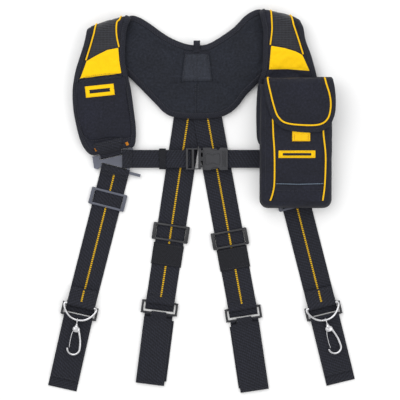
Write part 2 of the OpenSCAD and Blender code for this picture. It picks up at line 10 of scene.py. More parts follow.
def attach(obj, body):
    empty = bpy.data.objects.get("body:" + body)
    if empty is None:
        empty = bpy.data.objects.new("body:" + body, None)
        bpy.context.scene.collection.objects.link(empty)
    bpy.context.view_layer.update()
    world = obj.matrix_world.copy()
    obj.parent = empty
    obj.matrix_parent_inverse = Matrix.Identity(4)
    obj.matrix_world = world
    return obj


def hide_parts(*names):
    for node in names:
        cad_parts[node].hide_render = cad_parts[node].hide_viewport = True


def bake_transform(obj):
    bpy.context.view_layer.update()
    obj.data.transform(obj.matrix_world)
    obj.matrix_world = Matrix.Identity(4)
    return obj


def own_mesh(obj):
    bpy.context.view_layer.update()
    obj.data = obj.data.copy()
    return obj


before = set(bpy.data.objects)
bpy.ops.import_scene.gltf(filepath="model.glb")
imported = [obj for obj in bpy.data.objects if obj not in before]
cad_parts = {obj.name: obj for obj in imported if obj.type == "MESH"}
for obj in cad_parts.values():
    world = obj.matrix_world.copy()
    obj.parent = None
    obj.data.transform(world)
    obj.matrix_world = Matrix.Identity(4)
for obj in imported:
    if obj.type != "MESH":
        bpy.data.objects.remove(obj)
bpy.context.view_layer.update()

MM = 0.001
# The design's own millimetres sit 2 mm further along +Y than the frame's.
SHIFT = np.array([0.0, -2.0, 0.0])


# ---------------------------------------------------------------- geometry
class Part:
    """Vertices in design millimetres, with a (across, along) place on the cloth for each."""

    def __init__(self):
        self.v, self.f, self.uv, self.m = [], [], [], []

    def add(self, verts, faces, uv=None, m=0):
        base = len(self.v)
        verts = np.asarray(verts, float).reshape(-1, 3)
        self.v += [tuple(p) for p in verts]
        self.f += [[base + i for i in f] for f in faces]
        uv = verts[:, :2] if uv is None else uv
        self.uv += [tuple(p) for p in uv]
        self.m += list(m) if hasattr(m, "__len__") else [m] * len(faces)
        return self

    def build(self, name, mats, body=None, replaces=(), slot=None, bevel=0.0):
        me = bpy.data.meshes.new(name)
        me.from_pydata([tuple((np.array(p) + SHIFT) * MM) for p in self.v], [], self.f)
        layer = me.uv_layers.new(name="UVMap")
        loops = np.empty(len(me.loops), int)
        me.loops.foreach_get("vertex_index", loops)
        layer.data.foreach_set("uv", (np.array(self.uv)[loops] * MM * 10).astype(np.float32).ravel())
        for m in mats if isinstance(mats, (list, tuple)) else [mats]:
            me.materials.append(m)
        me.polygons.foreach_set("material_index", self.m)
        me.polygons.foreach_set("use_smooth", [True] * len(me.polygons))
        bm = bmesh.new()
        bm.from_mesh(me)
        bmesh.ops.recalc_face_normals(bm, faces=bm.faces)
        bm.to_mesh(me)
        bm.free()
        me.update()
        ob = bpy.data.objects.new(name, me)
        bpy.context.scene.collection.objects.link(ob)
        if bevel:
            mod = ob.modifiers.new("edge", "BEVEL")
            mod.width, mod.segments, mod.limit_method = bevel * MM, 2, "ANGLE"
            mod.angle_limit = math.radians(40)
        if body:
            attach(ob, body)
        if replaces:
            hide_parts(*replaces)
        return ob


def unit(v):
    v = np.asarray(v, float)
    n = np.linalg.norm(v, axis=-1, keepdims=True)
    return v / np.where(n < 1e-12, 1, n)


def run_of(p):
    """How far along a polyline each of its points is."""
    return np.concatenate([[0], np.cumsum(np.linalg.norm(np.diff(p, axis=0), axis=1))])


def at_z(p, z):
    return np.column_stack([p, np.full(len(p), z)])


def rings(n, k, closed=False, caps=True):
    """Faces that join n rings of k vertices each, and cap the two ends of an open row."""
    faces = [[i * k + j, i * k + (j + 1) % k, (i + 1) % n * k + (j + 1) % k, (i + 1) % n * k + j]
             for i in range(n if closed else n - 1) for j in range(k)]
    if caps and not closed:
        faces += [list(range(k))[::-1], [(n - 1) * k + j for j in range(k)]]
    return faces


def catmull(p, steps=6, closed=True):
    """A smooth curve through the points."""
    p = np.asarray(p, float)
    n = len(p)
    out = []
    for i in range(n if closed else n - 1):
        a, b, c, d = (p[(i + k) % n] if closed else p[min(max(i + k, 0), n - 1)]
                      for k in (-1, 0, 1, 2))
        for k in range(steps):
            t = k / steps
            out.append(0.5 * (2 * b + (c - a) * t + (2 * a - 5 * b + 4 * c - d) * t * t
                              + (3 * b - a - 3 * c + d) * t ** 3))
    if not closed:
        out.append(p[-1])
    return np.array(out)


def resample(p, step, closed=True):
    """Points about step apart along a polyline."""
    p = np.asarray(p, float)
    q = np.vstack([p, p[:1]]) if closed else p
    s = run_of(q)
    n = max(3, int(round(s[-1] / step)))
    t = np.linspace(0, s[-1], n + 1)[: n if closed else n + 1]
    return np.stack([np.interp(t, s, q[:, k]) for k in range(q.shape[1])], axis=1)


def inset(p, d):
    """A closed anticlockwise curve moved inwards by d."""
    t = unit(np.roll(p, -1, 0) - np.roll(p, 1, 0))
    return p + d * np.stack([-t[:, 1], t[:, 0]], axis=1)


def inside(points, poly):
    """Whether each point is inside a closed polyline."""
    x, y = points[:, :1], points[:, 1:2]
    ax, ay = np.asarray(poly, float).T
    bx, by = np.roll(ax, -1), np.roll(ay, -1)
    rise = np.where(by == ay, 1e-9, by - ay)
    crossed = ((ay > y) != (by > y)) & (x < (bx - ax) * (y - ay) / rise + ax)
    return crossed.sum(1) % 2 == 1


def distance(points, poly, closed=True):
    """Distance from each point to a polyline."""
    a = np.asarray(poly, float)
    b = np.roll(a, -1, 0) if closed else a[1:]
    a = a if closed else a[:-1]
    best = np.full(len(points), 1e9)
    for p, q in zip(a, b):
        d = q - p
        t = np.clip(((points - p) @ d) / max(d @ d, 1e-12), 0, 1)
        best = np.minimum(best, np.linalg.norm(points - p - t[:, None] * d, axis=1))
    return best


def skin(outline, step, lines=()):
    """Triangles that fill an outline, with edges along the given lines: (points, triangles)."""
    edge = resample(outline, step)
    pts = [tuple(p) for p in edge]
    edges = [(i, (i + 1) % len(edge)) for i in range(len(edge))]
    rest = []
    for line, closed in lines:
        q = resample(line, step * 0.8, closed)
        base = len(pts)
        pts += [tuple(p) for p in q]
        edges += [(base + i, base + (i + 1) % len(q)) for i in range(len(q) if closed else len(q) - 1)]
        rest.append((q, closed))
    lo, hi = edge.min(0), edge.max(0)
    h = step * 0.866
    rows = int((hi[1] - lo[1]) / h) + 1
    grid = np.array([(lo[0] + (i + 0.5 * (j % 2)) * step, lo[1] + j * h)
                     for j in range(rows) for i in range(int((hi[0] - lo[0]) / step) + 2)])
    grid = grid[inside(grid, edge)]
    grid = grid[distance(grid, edge) > 0.6 * step]
    for q, closed in rest:
        grid = grid[distance(grid, q, closed) > 0.5 * step]
    pts += [tuple(p) for p in grid]
    v, _, f, *_ = geometry.delaunay_2d_cdt([Vector(p) for p in pts], edges, [], 1, 1e-6)
    return np.array([tuple(p) for p in v]), [list(t) for t in f]


def web(part, frame_of, path, w, t=2.0, x=0.0, step=None, edge=None):
    """Webbing along a (y, z) path of its middle, w wide and t thick, with rounded selvedges."""
    path = np.asarray(path, float)
    if step:
        path = resample(path, step, False)
    tan = unit(np.gradient(path, axis=0))
    nrm = np.stack([-tan[:, 1], tan[:, 0]], axis=1)
    if nrm[len(nrm) // 2][1] < 0:
        nrm = -nrm
    h = t / 2
    prof = [(-w / 2, 0), (-w / 2 + 0.25, 0.75 * h), (-w / 2 + 1.0, h), (-w / 2 + 1.9, 0.82 * h)]
    prof += [(-w / 2 + 3 + (w - 6) * k / 6, 0.9 * h) for k in range(7)]
    prof += [(-a, b) for a, b in reversed(prof[:4])]
    prof += [(a, -b) for a, b in reversed(prof[1:-1])]
    run = run_of(path)
    verts, uv = [], []
    for i in range(len(path)):
        e = 1.0 if edge is None else edge[i]
        for a, b in prof:
            verts.append((x + a * e, path[i, 0] + nrm[i, 0] * b, path[i, 1] + nrm[i, 1] * b))
            uv.append((a + w / 2, run[i]))
    part.add(frame_of(np.array(verts)), rings(len(path), len(prof)), uv)


def tangents(p, closed):
    return unit(np.roll(p, -1, 0) - np.roll(p, 1, 0)) if closed else unit(np.gradient(p, axis=0))


def tube(part, path, r, closed=False, sides=12, m=0, up=(0, 0, 1), squash=1.0):
    """A round wire or cord along a 3-D path. r is a number or one radius for each point."""
    p = np.asarray(path, float)
    r = np.full(len(p), float(r)) if np.isscalar(r) else np.asarray(r, float)
    tan = tangents(p, closed)
    side = unit(np.cross(tan, np.broadcast_to(np.asarray(up, float), p.shape)))
    top = np.cross(side, tan)
    a = np.linspace(0, 2 * math.pi, sides, endpoint=False)
    ring = (p[:, None, :] + r[:, None, None] * (np.cos(a)[None, :, None] * side[:, None, :]
            + squash * np.sin(a)[None, :, None] * top[:, None, :])).reshape(-1, 3)
    uv = [(t * ri, s) for ri, s in zip(r, run_of(p)) for t in a]
    part.add(ring, rings(len(p), sides, closed), uv, m)


def ribbon(part, path, normals, profile, closed=True, m=0):
    """A closed profile of (side, up) points swept along a path that has a normal at each point."""
    p, nn = np.asarray(path, float), unit(normals)
    side = unit(np.cross(tangents(p, closed), nn))
    prof = np.asarray(profile, float)
    verts = p[:, None] + prof[None, :, :1] * side[:, None] + prof[None, :, 1:] * nn[:, None]
    uv = [(a, s) for s in run_of(p) for a in run_of(prof)]
    part.add(verts.reshape(-1, 3), rings(len(p), len(prof), closed), uv, m)


def piping(part, c, up, r, flange):
    """Round piping with its flange sewn down on both sides."""
    tube(part, c, r, up=up)
    for sign in (1, -1):
        ribbon(part, c, up, np.array(flange) * np.array([sign, 1]), False, 1)


def stitches(part, path, normals, pitch=3.4, length=2.3, r=0.38, lift=0.1, m=0):
    """A row of thread stitches along a path on a surface."""
    p = np.asarray(path, float)
    run = run_of(p)
    nn = unit(normals)
    for s in np.arange(pitch / 2, run[-1] - length, pitch):
        t = np.array([s, s + length * 0.5, s + length])
        q = np.stack([np.interp(t, run, p[:, k]) for k in range(3)], axis=1)
        un = unit(np.stack([np.interp(t, run, nn[:, k]) for k in range(3)], axis=1))
        q = q + un * np.array([[-0.15], [lift], [-0.15]])
        tube(part, q, [r * 0.6, r, r * 0.6], sides=6, up=un, m=m)


def round_trip(line, closed):
    """Points along a line, back to its start if it is closed."""
    p = np.asarray(line, float)
    return resample(np.vstack([p, p[:1]]) if closed else p, 1.0, False)


def flat_stitches(part, frame_of, pts, z, closed=False, **kw):
    """Stitches at height z of a piece's own frame."""
    p = round_trip(pts, closed)
    q = frame_of(at_z(p, z))
    stitches(part, q, unit(frame_of(at_z(p, z + 1)) - q), **kw)


# ---------------------------------------------------------------- frames
def turned(origin, deg):
    """A frame at a point of the plane, turned by an angle: a function that places points."""
    c, s = math.cos(math.radians(deg)), math.sin(math.radians(deg))
    o = np.array([origin[0], origin[1], 0.0])
    return lambda p: np.asarray(p, float) @ np.array([[c, s, 0], [-s, c, 0], [0, 0, 1]]) + o


# The plane that the shoulder pads' undersides lie in: its tilt, the y it turns about, its height there.
TILT, TILT_Y, TILT_Z = math.radians(3.65), 76, 5.7


def on_pad(p):
    """Points over the tilted plane that the shoulder pads' undersides lie in."""
    p = np.asarray(p, float)
    y, z, c, s = p[:, 1] - TILT_Y, p[:, 2], math.cos(TILT), math.sin(TILT)
    return np.column_stack([p[:, 0], y * c - z * s + TILT_Y, y * s + z * c + TILT_Z])


# A leg's start, its angle, how far down its belt ring is, its tongue's angle and length.
LEGS = {"front_left": ((-150.7, 58), -14.3, 246, -12.6, 129),
        "front_right": ((150.7, 58), 14.3, 246, 13.7, 119),
        "back_left": ((-16, 197), -8.6, 376, -7.2, 125),
        "back_right": ((2, 197), 10.4, 388, 8.4, 127)}


def on_leg(leg):
    return turned(LEGS[leg][0], LEGS[leg][1])


def ring_at(leg):
    return on_leg(leg)(np.array([[0, -LEGS[leg][2], 0]]))[0]


def on_tongue(leg):
    return turned(ring_at(leg)[:2], LEGS[leg][3])


# ---------------------------------------------------------------- materials
class Mat:
    """A material with a Principled shader, and short calls for its nodes."""

    def __init__(self, name, rough=0.8, metallic=0.0, sheen=0.0, spec=0.5):
        self.mat = bpy.data.materials.new(name)
        self.mat.use_nodes = True
        self.t = self.mat.node_tree
        self.b = self.t.nodes["Principled BSDF"]
        for socket, value in (("Roughness", rough), ("Metallic", metallic), ("Coat Weight", 0.0),
                              ("Sheen Weight", sheen), ("Sheen Roughness", 0.5), ("Specular IOR Level", spec)):
            self.b.inputs[socket].default_value = value
        self.heights = []

    def node(self, kind, **inputs):
        n = self.t.nodes.new(kind)
        for k, v in inputs.items():
            n.inputs[k.replace("_", " ")].default_value = v
        return n

    def link(self, a, b):
        self.t.links.new(a, b)

    def coords(self, kind="UV", scale=(1, 1, 1), turn=0.0):
        tc = self.node("ShaderNodeTexCoord")
        mp = self.node("ShaderNodeMapping")
        mp.inputs["Scale"].default_value = scale
        mp.inputs["Rotation"].default_value = (0, 0, turn)
        self.link(tc.outputs[kind], mp.inputs["Vector"])
        return mp.outputs["Vector"]

    def wave(self, vec, direction, scale, distortion=0.0):
        n = self.node("ShaderNodeTexWave", Scale=scale, Distortion=distortion, Detail=0.0)
        n.bands_direction = direction
        self.link(vec, n.inputs["Vector"])
        return n.outputs["Fac"]

    def noise(self, vec, scale, detail=3.0, rough=0.55):
        n = self.node("ShaderNodeTexNoise", Scale=scale, Detail=detail, Roughness=rough)
        self.link(vec, n.inputs["Vector"])
        return n.outputs["Fac"]

    def math(self, op, a, b, clamp=False):
        n = self.node("ShaderNodeMath")
        n.operation, n.use_clamp = op, clamp
        for i, v in enumerate((a, b)):
            if isinstance(v, (int, float)):
                n.inputs[i].default_value = v
            else:
                self.link(v, n.inputs[i])
        return n.outputs[0]

    def ramp(self, fac, stops):
        n = self.node("ShaderNodeValToRGB")
        r = n.color_ramp
        while len(r.elements) < len(stops):
            r.elements.new(0.5)
        for e, (pos, col) in zip(r.elements, stops):
            e.position, e.color = pos, (*col, 1)
        self.link(fac, n.inputs["Fac"])
        return n.outputs["Color"]

    def total(self, terms, less):
        """The sum of (value, weight) terms, less a number, kept from 0 to 1."""
        out = None
        for i, (value, weight) in enumerate(terms):
            last = i == len(terms) - 1
            term = self.math("MULTIPLY", value, weight)
            term = self.math("SUBTRACT", term, less) if last else term
            out = term if out is None else self.math("ADD", out, term, clamp=last)
        return out

    def colour(self, out):
        self.link(out, self.b.inputs["Base Color"])

    def tones(self, fac, col, dark, light, stops):
        """Base colour that runs from a darker to a lighter shade of one colour."""
        self.colour(self.ramp(fac, list(zip(stops, (shade(col, dark), col, shade(col, light))))))

    def rough_from(self, fac, lo, hi):
        n = self.node("ShaderNodeMapRange")
        n.inputs["To Min"].default_value, n.inputs["To Max"].default_value = lo, hi
        self.link(fac, n.inputs["Value"])
        self.link(n.outputs["Result"], self.b.inputs["Roughness"])

    def bump(self, height, strength, distance):
        n = self.node("ShaderNodeBump", Strength=strength, Distance=distance)
        self.link(height, n.inputs["Height"])
        if self.heights:
            self.link(self.heights[-1], n.inputs["Normal"])
        self.heights.append(n.outputs["Normal"])
        self.link(n.outputs["Normal"], self.b.inputs["Normal"])


def shade(c, k):
    return tuple(min(1.0, x * k) for x in c)


# One UV unit is 100 mm of cloth, and a wave of scale 1 repeats every pi / 10 units,
# so a wave of this scale repeats every millimetre.
WAVE_PER_MM = 31.416


def woven(name, col, pitch=1.1, bump=0.35, sheen=0.0, rough=0.85, mottle=0.35, spec=0.3, dark=0.35, light=2.1):
    """Plain woven cloth: crossing threads of the given pitch in mm, cloudy wear and fine fuzz."""
    m = Mat(name, rough=rough, sheen=sheen, spec=spec)
    s = WAVE_PER_MM / pitch
    uv = m.coords()
    thread = m.math("MULTIPLY", m.wave(uv, "X", scale=s), m.wave(uv, "Y", scale=s))
    cloud = m.noise(uv, 2.2, 4)
    fuzz = m.noise(uv, 60, 2)
    slub = m.noise(uv, 26, 2, 0.7)
    mix = m.total([(cloud, mottle), (thread, 0.24), (slub, 0.75), (fuzz, 0.2)], 0.30)
    m.tones(mix, col, dark, light, (0.18, 0.5, 0.82))
    m.bump(thread, bump, 0.0004)
    m.bump(fuzz, 0.12, 0.0003)
    m.rough_from(cloud, rough - 0.08, min(1, rough + 0.08))
    return m.mat


def ribbed(name, col, pitch=1.5, bump=0.5, sheen=0.0, rough=0.8, dark=0.35, light=2.2):
    """Narrow webbing or tape: herringbone ribs across it and a few cords along it."""
    m = Mat(name, rough=rough, sheen=sheen, spec=0.25)
    uv = m.coords()
    s = WAVE_PER_MM / pitch
    ribs = m.wave(uv, "Y", scale=s, distortion=0.6)
    cords = m.wave(uv, "X", scale=s * 0.55)
    diag = m.wave(m.coords(turn=math.radians(35)), "Y", scale=s * 0.8)
    cloud = m.noise(uv, 1.6, 4)
    fuzz = m.noise(uv, 70, 2)
    # the herringbone's own bands are wide enough to see from a distance
    band = m.wave(m.coords(turn=math.radians(-32)), "Y", scale=s / 2.6, distortion=1.2)
    slub = m.noise(uv, 30, 2, 0.7)
    tone = m.total([(ribs, 0.18), (cords, 0.14), (band, 0.22), (cloud, 0.2), (slub, 0.6), (fuzz, 0.2)], 0.24)
    m.tones(tone, col, dark, light, (0.24, 0.52, 0.8))
    m.bump(m.math("ADD", ribs, m.math("MULTIPLY", diag, 0.5)), bump, 0.0004)
    m.bump(cords, bump * 0.6, 0.0003)
    m.rough_from(cloud, rough - 0.1, rough + 0.08)
    return m.mat


def netting(name, col, hole, pitch=2.4):
    """Open spacer mesh: rows of dark holes in a lighter knit."""
    m = Mat(name, rough=0.75, sheen=0.3, spec=0.3)
    uv = m.coords(scale=(1, 0.8, 1))
    n = m.node("ShaderNodeTexVoronoi", Scale=100.0 / pitch, Randomness=0.12)
    m.link(uv, n.inputs["Vector"])
    d = n.outputs["Distance"]
    cloud = m.noise(uv, 2.0, 4)
    m.colour(m.ramp(d, [(0.22, hole), (0.42, col), (0.7, shade(col, 1.8))]))
    m.bump(d, 0.6, 0.0006)
    m.rough_from(cloud, 0.65, 0.85)
    return m.mat


def plastic(name, col, rough=0.42):
    """Moulded plastic: fine spark grain, faint flow marks and a painted highlight along convex edges."""
    m = Mat(name, rough=rough, spec=0.5)
    v = m.coords("Object")
    grain = m.noise(v, 1500, 2)
    flow = m.noise(v, 45, 3)
    # painted highlight: the mesh's convex edges, found from its pointiness, are made lighter
    geo = m.node("ShaderNodeNewGeometry")
    edge = m.math("MULTIPLY", m.math("SUBTRACT", geo.outputs["Pointiness"], 0.5), 3.5, clamp=True)
    tone = m.math("ADD", m.math("MULTIPLY", flow, 0.6), edge, clamp=True)
    m.tones(tone, col, 0.85, 1.6, (0.15, 0.4, 0.9))
    m.bump(grain, 0.08, 0.0003)
    m.rough_from(flow, rough - 0.07, rough + 0.1)
    return m.mat


def metal(name, col, rough=0.22):
    """Plated wire: faint drawing lines, small dents and a little dulling."""
    m = Mat(name, rough=rough, metallic=1.0)
    v = m.coords("Object")
    dull = m.noise(v, 120, 4)
    fine = m.noise(v, 900, 2)
    m.tones(dull, col, 0.78, 1.12, (0.25, 0.55, 0.85))
    m.rough_from(dull, rough - 0.08, rough + 0.16)
    m.bump(fine, 0.06, 0.0002)
    return m.mat


CLOTH = woven("pad_cloth", (0.0125, 0.0135, 0.0225), pitch=1.2, sheen=0.03, mottle=0.45)
CLOTH2 = woven("pouch_cloth", (0.0115, 0.0125, 0.0215), pitch=1.4, bump=0.5, sheen=0.03, mottle=0.45)
LINING = woven("lining_cloth", (0.0155, 0.018, 0.027), pitch=0.9, bump=0.2, sheen=0.05, rough=0.9)
PATCH = woven("patch_cloth", (0.027, 0.031, 0.044), pitch=1.0, bump=0.25, sheen=0.05, rough=0.82)
NET = netting("spacer_mesh", (0.022, 0.023, 0.029), (0.004, 0.004, 0.005))
YELLOW = woven("yellow_cloth", (0.98, 0.60, 0.003), bump=0.3, mottle=0.2, rough=0.75, spec=0.15, dark=0.93,
               light=1.06)
YELLOW_TAPE = ribbed("yellow_tape", (0.92, 0.53, 0.004), pitch=1.2, bump=0.4, dark=0.8, light=1.12)
THREAD_Y = woven("yellow_thread", (0.98, 0.58, 0.004), pitch=0.5, bump=0.5, rough=0.6, dark=0.75, light=1.2)
THREAD_O = woven("tack_thread", (0.66, 0.24, 0.012), pitch=0.5, bump=0.5, rough=0.6, dark=0.7, light=1.2)
THREAD_K = woven("dark_thread", (0.050, 0.052, 0.062), pitch=0.5, bump=0.5, sheen=0.03, rough=0.6)
BINDING = ribbed("edge_tape", (0.0125, 0.0135, 0.0205), pitch=1.2, sheen=0.04)
WEBBING = ribbed("webbing", (0.0118, 0.0127, 0.0190), pitch=1.8, bump=0.7, sheen=0.04)
ELASTIC = ribbed("elastic", (0.010, 0.0105, 0.014), pitch=1.0, sheen=0.03)
GREY = plastic("grey_plastic", (0.072, 0.078, 0.105))
BLACK = plastic("black_plastic", (0.013, 0.0135, 0.017), rough=0.34)
STEEL = metal("plated_steel", (0.66, 0.66, 0.68))
GREYTAPE = ribbed("reflex_tape", (0.10, 0.13, 0.17), pitch=1.2, bump=0.3)


# ---------------------------------------------------------------- webbing and hardware
def arc(cy, cz, r, a0, a1, n=7):
    return [(cy + r * math.cos(math.radians(a)), cz + r * math.sin(math.radians(a)))
            for a in np.linspace(a0, a1, n)]


def tracer(part, frame_of, path, y0, y1, m=0, top=1.0):
    """A line of bright stitches down the middle of a strap, on its upper face."""
    p = np.array([q for q in resample(np.asarray(path, float), 1.0, False) if y1 <= q[0] <= y0])
    tan = unit(np.gradient(p, axis=0))
    nrm = np.stack([-tan[:, 1], tan[:, 0]], axis=1)
    nrm *= np.sign(nrm[:, 1:2] + 1e-9)
    q = p + nrm * (top - 0.12)
    middle = np.zeros(len(q))
    pts = frame_of(np.column_stack([middle, q]))
    ups = unit(frame_of(np.column_stack([middle, q + nrm])) - pts)
    run = run_of(pts)
    for s in np.arange(1.2, run[-1] - 2.4, 3.5):
        t = np.array([s, s + 1.25, s + 2.5])
        c = np.stack([np.interp(t, run, pts[:, k]) for k in range(3)], axis=1)
        u = unit(np.stack([np.interp(t, run, ups[:, k]) for k in range(3)], axis=1))
        side = unit(np.cross(np.gradient(c, axis=0), u))
        for k in (-1, 1):
            d = side * np.array([[k * 1.15], [k * 0.75], [k * 0.2]])
            tube(part, c + d, [0.55, 0.85, 0.55], sides=6, up=u, squash=0.45, m=m)


def box_stitch(part, frame_of, x0, x1, y0, y1, z, m=0):
    """A sewn box with a cross in it."""
    ring = [(x0, y0), (x1, y0), (x1, y1), (x0, y1)]
    flat_stitches(part, frame_of, ring, z, closed=True, m=m, r=0.34)
    for line in ([(x0, y0), (x1, y1)], [(x0, y1), (x1, y0)]):
        flat_stitches(part, frame_of, line, z, m=m, r=0.34)


# How far down each leg its slide adjuster sits.
SLIDES = {"front_left": 54, "front_right": 54, "back_left": 253, "back_right": 265}


def leg_strap(leg):
    """A leg's webbing from the link or yoke down round the upper bar of its belt ring."""
    run = LEGS[leg][2]
    end, side = leg.split("_")
    front = end == "front"
    fr, tf = on_leg(leg), on_tongue(leg)
    part = Part()
    # the right back leg lies over the left one where they meet under the yoke
    over = 2.25 if leg == "back_right" else 0
    ring = arc(-run, 3.8, 2.95, 100, 268, 9)
    tail = [(-run + 4, 0.98), (-run + 12, 0.95), (-run + 22, 0.95)]
    if front:
        head = [(-9, 1.0), (-3, 1.0), (1.5, 1.1), (3.7, 2.2), (4.3, 4.6), (3.7, 7.0), (1.4, 8.2),
                (-3, 8.15), (-7, 6.6), (-11, 3.6), (-15, 1.7), (-19, 1.08)]
    else:
        head = [(0, 1.05 + over), (-20, 1.05 + over)]
    long_run = [(y, 1.08 + over * np.clip((y + 128) / 30, 0, 1)) for y in np.arange(-30, -run + 30, -12)]
    foot = [(-run + 23, 1.1), (-run + 18, 1.9), (-run + 13, 2.95), (-run + 7, 3.4), (-run + 3.6, 5.6)]
    path = catmull(head + long_run + foot, 4, False)
    web(part, fr, np.vstack([path, ring, tail]), 50, 1.95, step=2.2)
    tracer(part, fr, path, -9 if front else -20, -run + (24 if front else 6), m=1)
    # sewn down above the ring
    box_stitch(part, fr, -22, 22, -run + 15, -run + 7, 4.4, m=2)
    # its tail lies under the belt ring
    web(part, tf, [(y, 0.95) for y in (6, 0, -8, -14.5)], 50, 1.5)
    if front:
        box_stitch(part, fr, -22, 22, -4, -11, 8.6, m=2)
        seat = ([(30, 4.75), (18, 5.0), (8, 5.15), (3, 5.6)] + arc(0, 8.6, 2.85, -100, -268, 9)
                + [(6, 9.9), (12, 8.0), (19, 6.9), (30, 6.75)])
        web(part, tf, seat, 48, 1.6, step=1.6)
        box_stitch(part, tf, -21, 21, 27, 13, 7.6, m=2)
        tracer(part, tf, seat[-5:], 30, 5, m=1, top=0.8)
    part.build(leg + "_leg_webbing", [WEBBING, THREAD_Y, THREAD_K], end, (end + "_strap_" + side,), "webbing")


def tongues(leg):
    """The two layers that close round a belt, below the belt ring."""
    end, side = leg.split("_")
    tf, tip = on_tongue(leg), -20 - LEGS[leg][4]
    mats = [WEBBING, THREAD_K]
    lower = Part()
    bend_down = [(-24.5, 5.9), (-28, 4.3), (-33, 3.2), (-42, 2.85), (tip / 2, 2.8)]
    if end == "front":
        low = [(tip, 0.9), (tip / 2, 0.9), (-30, 0.9)] + arc(-20, 3.8, 2.9, -95, 10, 6)
        top = arc(-20, 3.8, 2.9, 40, 118, 5) + bend_down + [(tip + 16, 2.8)]
        web(lower, tf, catmull(low, 4, False), 51, 1.7, step=2.0)
        web(lower, tf, catmull(top, 4, False), 50, 1.7, step=2.0)
        for line, z in (([(-22, tip + 19), (22, tip + 19)], 3.62), ([(-22.5, -36), (-22.5, tip + 19)], 3.62),
                        ([(22.5, -36), (22.5, tip + 19)], 3.62), ([(-22, tip + 3), (22, tip + 3)], 1.72)):
            flat_stitches(lower, tf, line, z, m=1)
        return lower.build(leg + "_belt_tongue", mats, end, (), "webbing")
    low = [(tip + 8, 0.9), (tip / 2, 0.9), (-30, 0.9)]
    web(lower, tf, catmull(low, 4, False), 50, 1.6, x=3.0 if side == "left" else -2.2, step=2.0)
    # the split end goes round the lower bar on both sides of the upper tongue
    for x in (-19.4, 19.4):
        path = [(-30, 0.95), (-25, 0.95)] + arc(-20, 3.8, 2.85, -100, -268, 9)
        web(lower, tf, path, 10.6, 1.5, x=x, step=1.4)
    lower.build(leg + "_under_tongue", mats, end, (), "webbing")
    upper = Part()
    path = resample(catmull(arc(-20, 3.8, 2.95, -60, 110, 10) + bend_down + [(tip, 2.8)], 4, False), 2.0, False)
    # narrow round the bar, and full width from 25.5 mm down
    edge = [0.53 if y > -25.5 else min(1.0, 0.53 + 0.47 * (-25.5 - y) / 2.5) for y in path[:, 0]]
    web(upper, tf, path, 50, 1.6, edge=edge)
    for line in ([(-22, tip + 3), (22, tip + 3)], [(-22.5, -38), (-22.5, tip + 3)],
                 [(22.5, -38), (22.5, tip + 3)]):
        flat_stitches(upper, tf, line, 3.58, m=1)
    return upper.build(leg + "_upper_tongue", mats, "tongue_" + side, ("back_tongue_" + side,), "webbing")


def rounded_rect(w, l, r):
    """A rectangle with round corners, from y = 0 down to -l."""
    x, low = w / 2 - r, -l + r
    corners = ((x, -r, 0), (-x, -r, 90), (-x, low, 180), (x, low, 270))
    return np.array([p for cx, cy, a in corners for p in arc(cx, cy, r, a, a + 90, 5)])


def belt_rings(names, body, node):
    """The rings that carry the belt, with a thicker spot at each corner."""
    part = Part()
    for leg in names:
        p = resample(rounded_rect(60, 20, 2.6), 2.0)
        tube(part, on_tongue(leg)(at_z(p, 3.8)), 2.0, True, 14, squash=0.95)
        for y in (0, -20):
            for x in (-29.9, 29.9):
                q = np.array([[x, y - 1.4, 3.8], [x, y + 1.4, 3.8]])
                tube(part, on_tongue(leg)(q), 2.15, sides=14)
    part.build(body + "_belt_rings", BLACK, body, (node,), "black_plastic")


def slider(leg, down, colour):
    """A moulded frame with a grooved bar at each end."""
    end, side = leg.split("_")
    node = end + "_slider_" + side
    part = Part()
    at = lambda p: on_leg(leg)(np.asarray(p, float) + np.array([0, -down, 0]))
    wide, long, thick, z0, z1 = 64.0, 30.0, 4.2, 2.3, 5.6
    for y0 in (long / 2 - thick, -long / 2):
        y1 = y0 + thick
        prof = [(y0 + 0.5, z0), (y1 - 0.5, z0), (y1, z0 + 0.5), (y1, z1 - 0.8), (y1 - 0.8, z1),
                (y0 + 0.8, z1), (y0, z1 - 0.8), (y0, z0 + 0.5)]
        cy, cz, x = (y0 + y1) / 2, (z0 + z1) / 2, wide / 2 - 0.6
        verts = [(x, cy + (y - cy) * s, cz + (z - cz) * s)
                 for x, s in ((-x, 0.72), (0.7 - x, 1), (x - 0.7, 1), (x, 0.72)) for y, z in prof]
        part.add(at(verts), rings(4, len(prof)), [v[:2] for v in verts])
    for s in (-1, 1):
        p = rounded_rect(6.2, long, 2.4) + np.array([s * (wide / 2 - 3.1), long / 2])
        top = (p - p.mean(0)) * np.array([0.8, 0.97]) + p.mean(0)
        verts = np.vstack([at_z(p, 0.4), at_z(p, 5.0), at_z(top, 5.7)])
        part.add(at(verts), rings(3, len(p)), verts[:, :2])
    mat = GREY if colour == "grey_plastic" else BLACK
    part.build(node + "_frame", mat, node, (node,), colour, bevel=0.25)
    if end == "front":
        # the doubled webbing that goes over the strap inside the frame
        part = Part()
        web(part, at, [(y, 3.3) for y in np.linspace(12.4, -12.4, 9)], 49, 1.3)
        part.build(node + "_fold", WEBBING, node, (), "webbing")


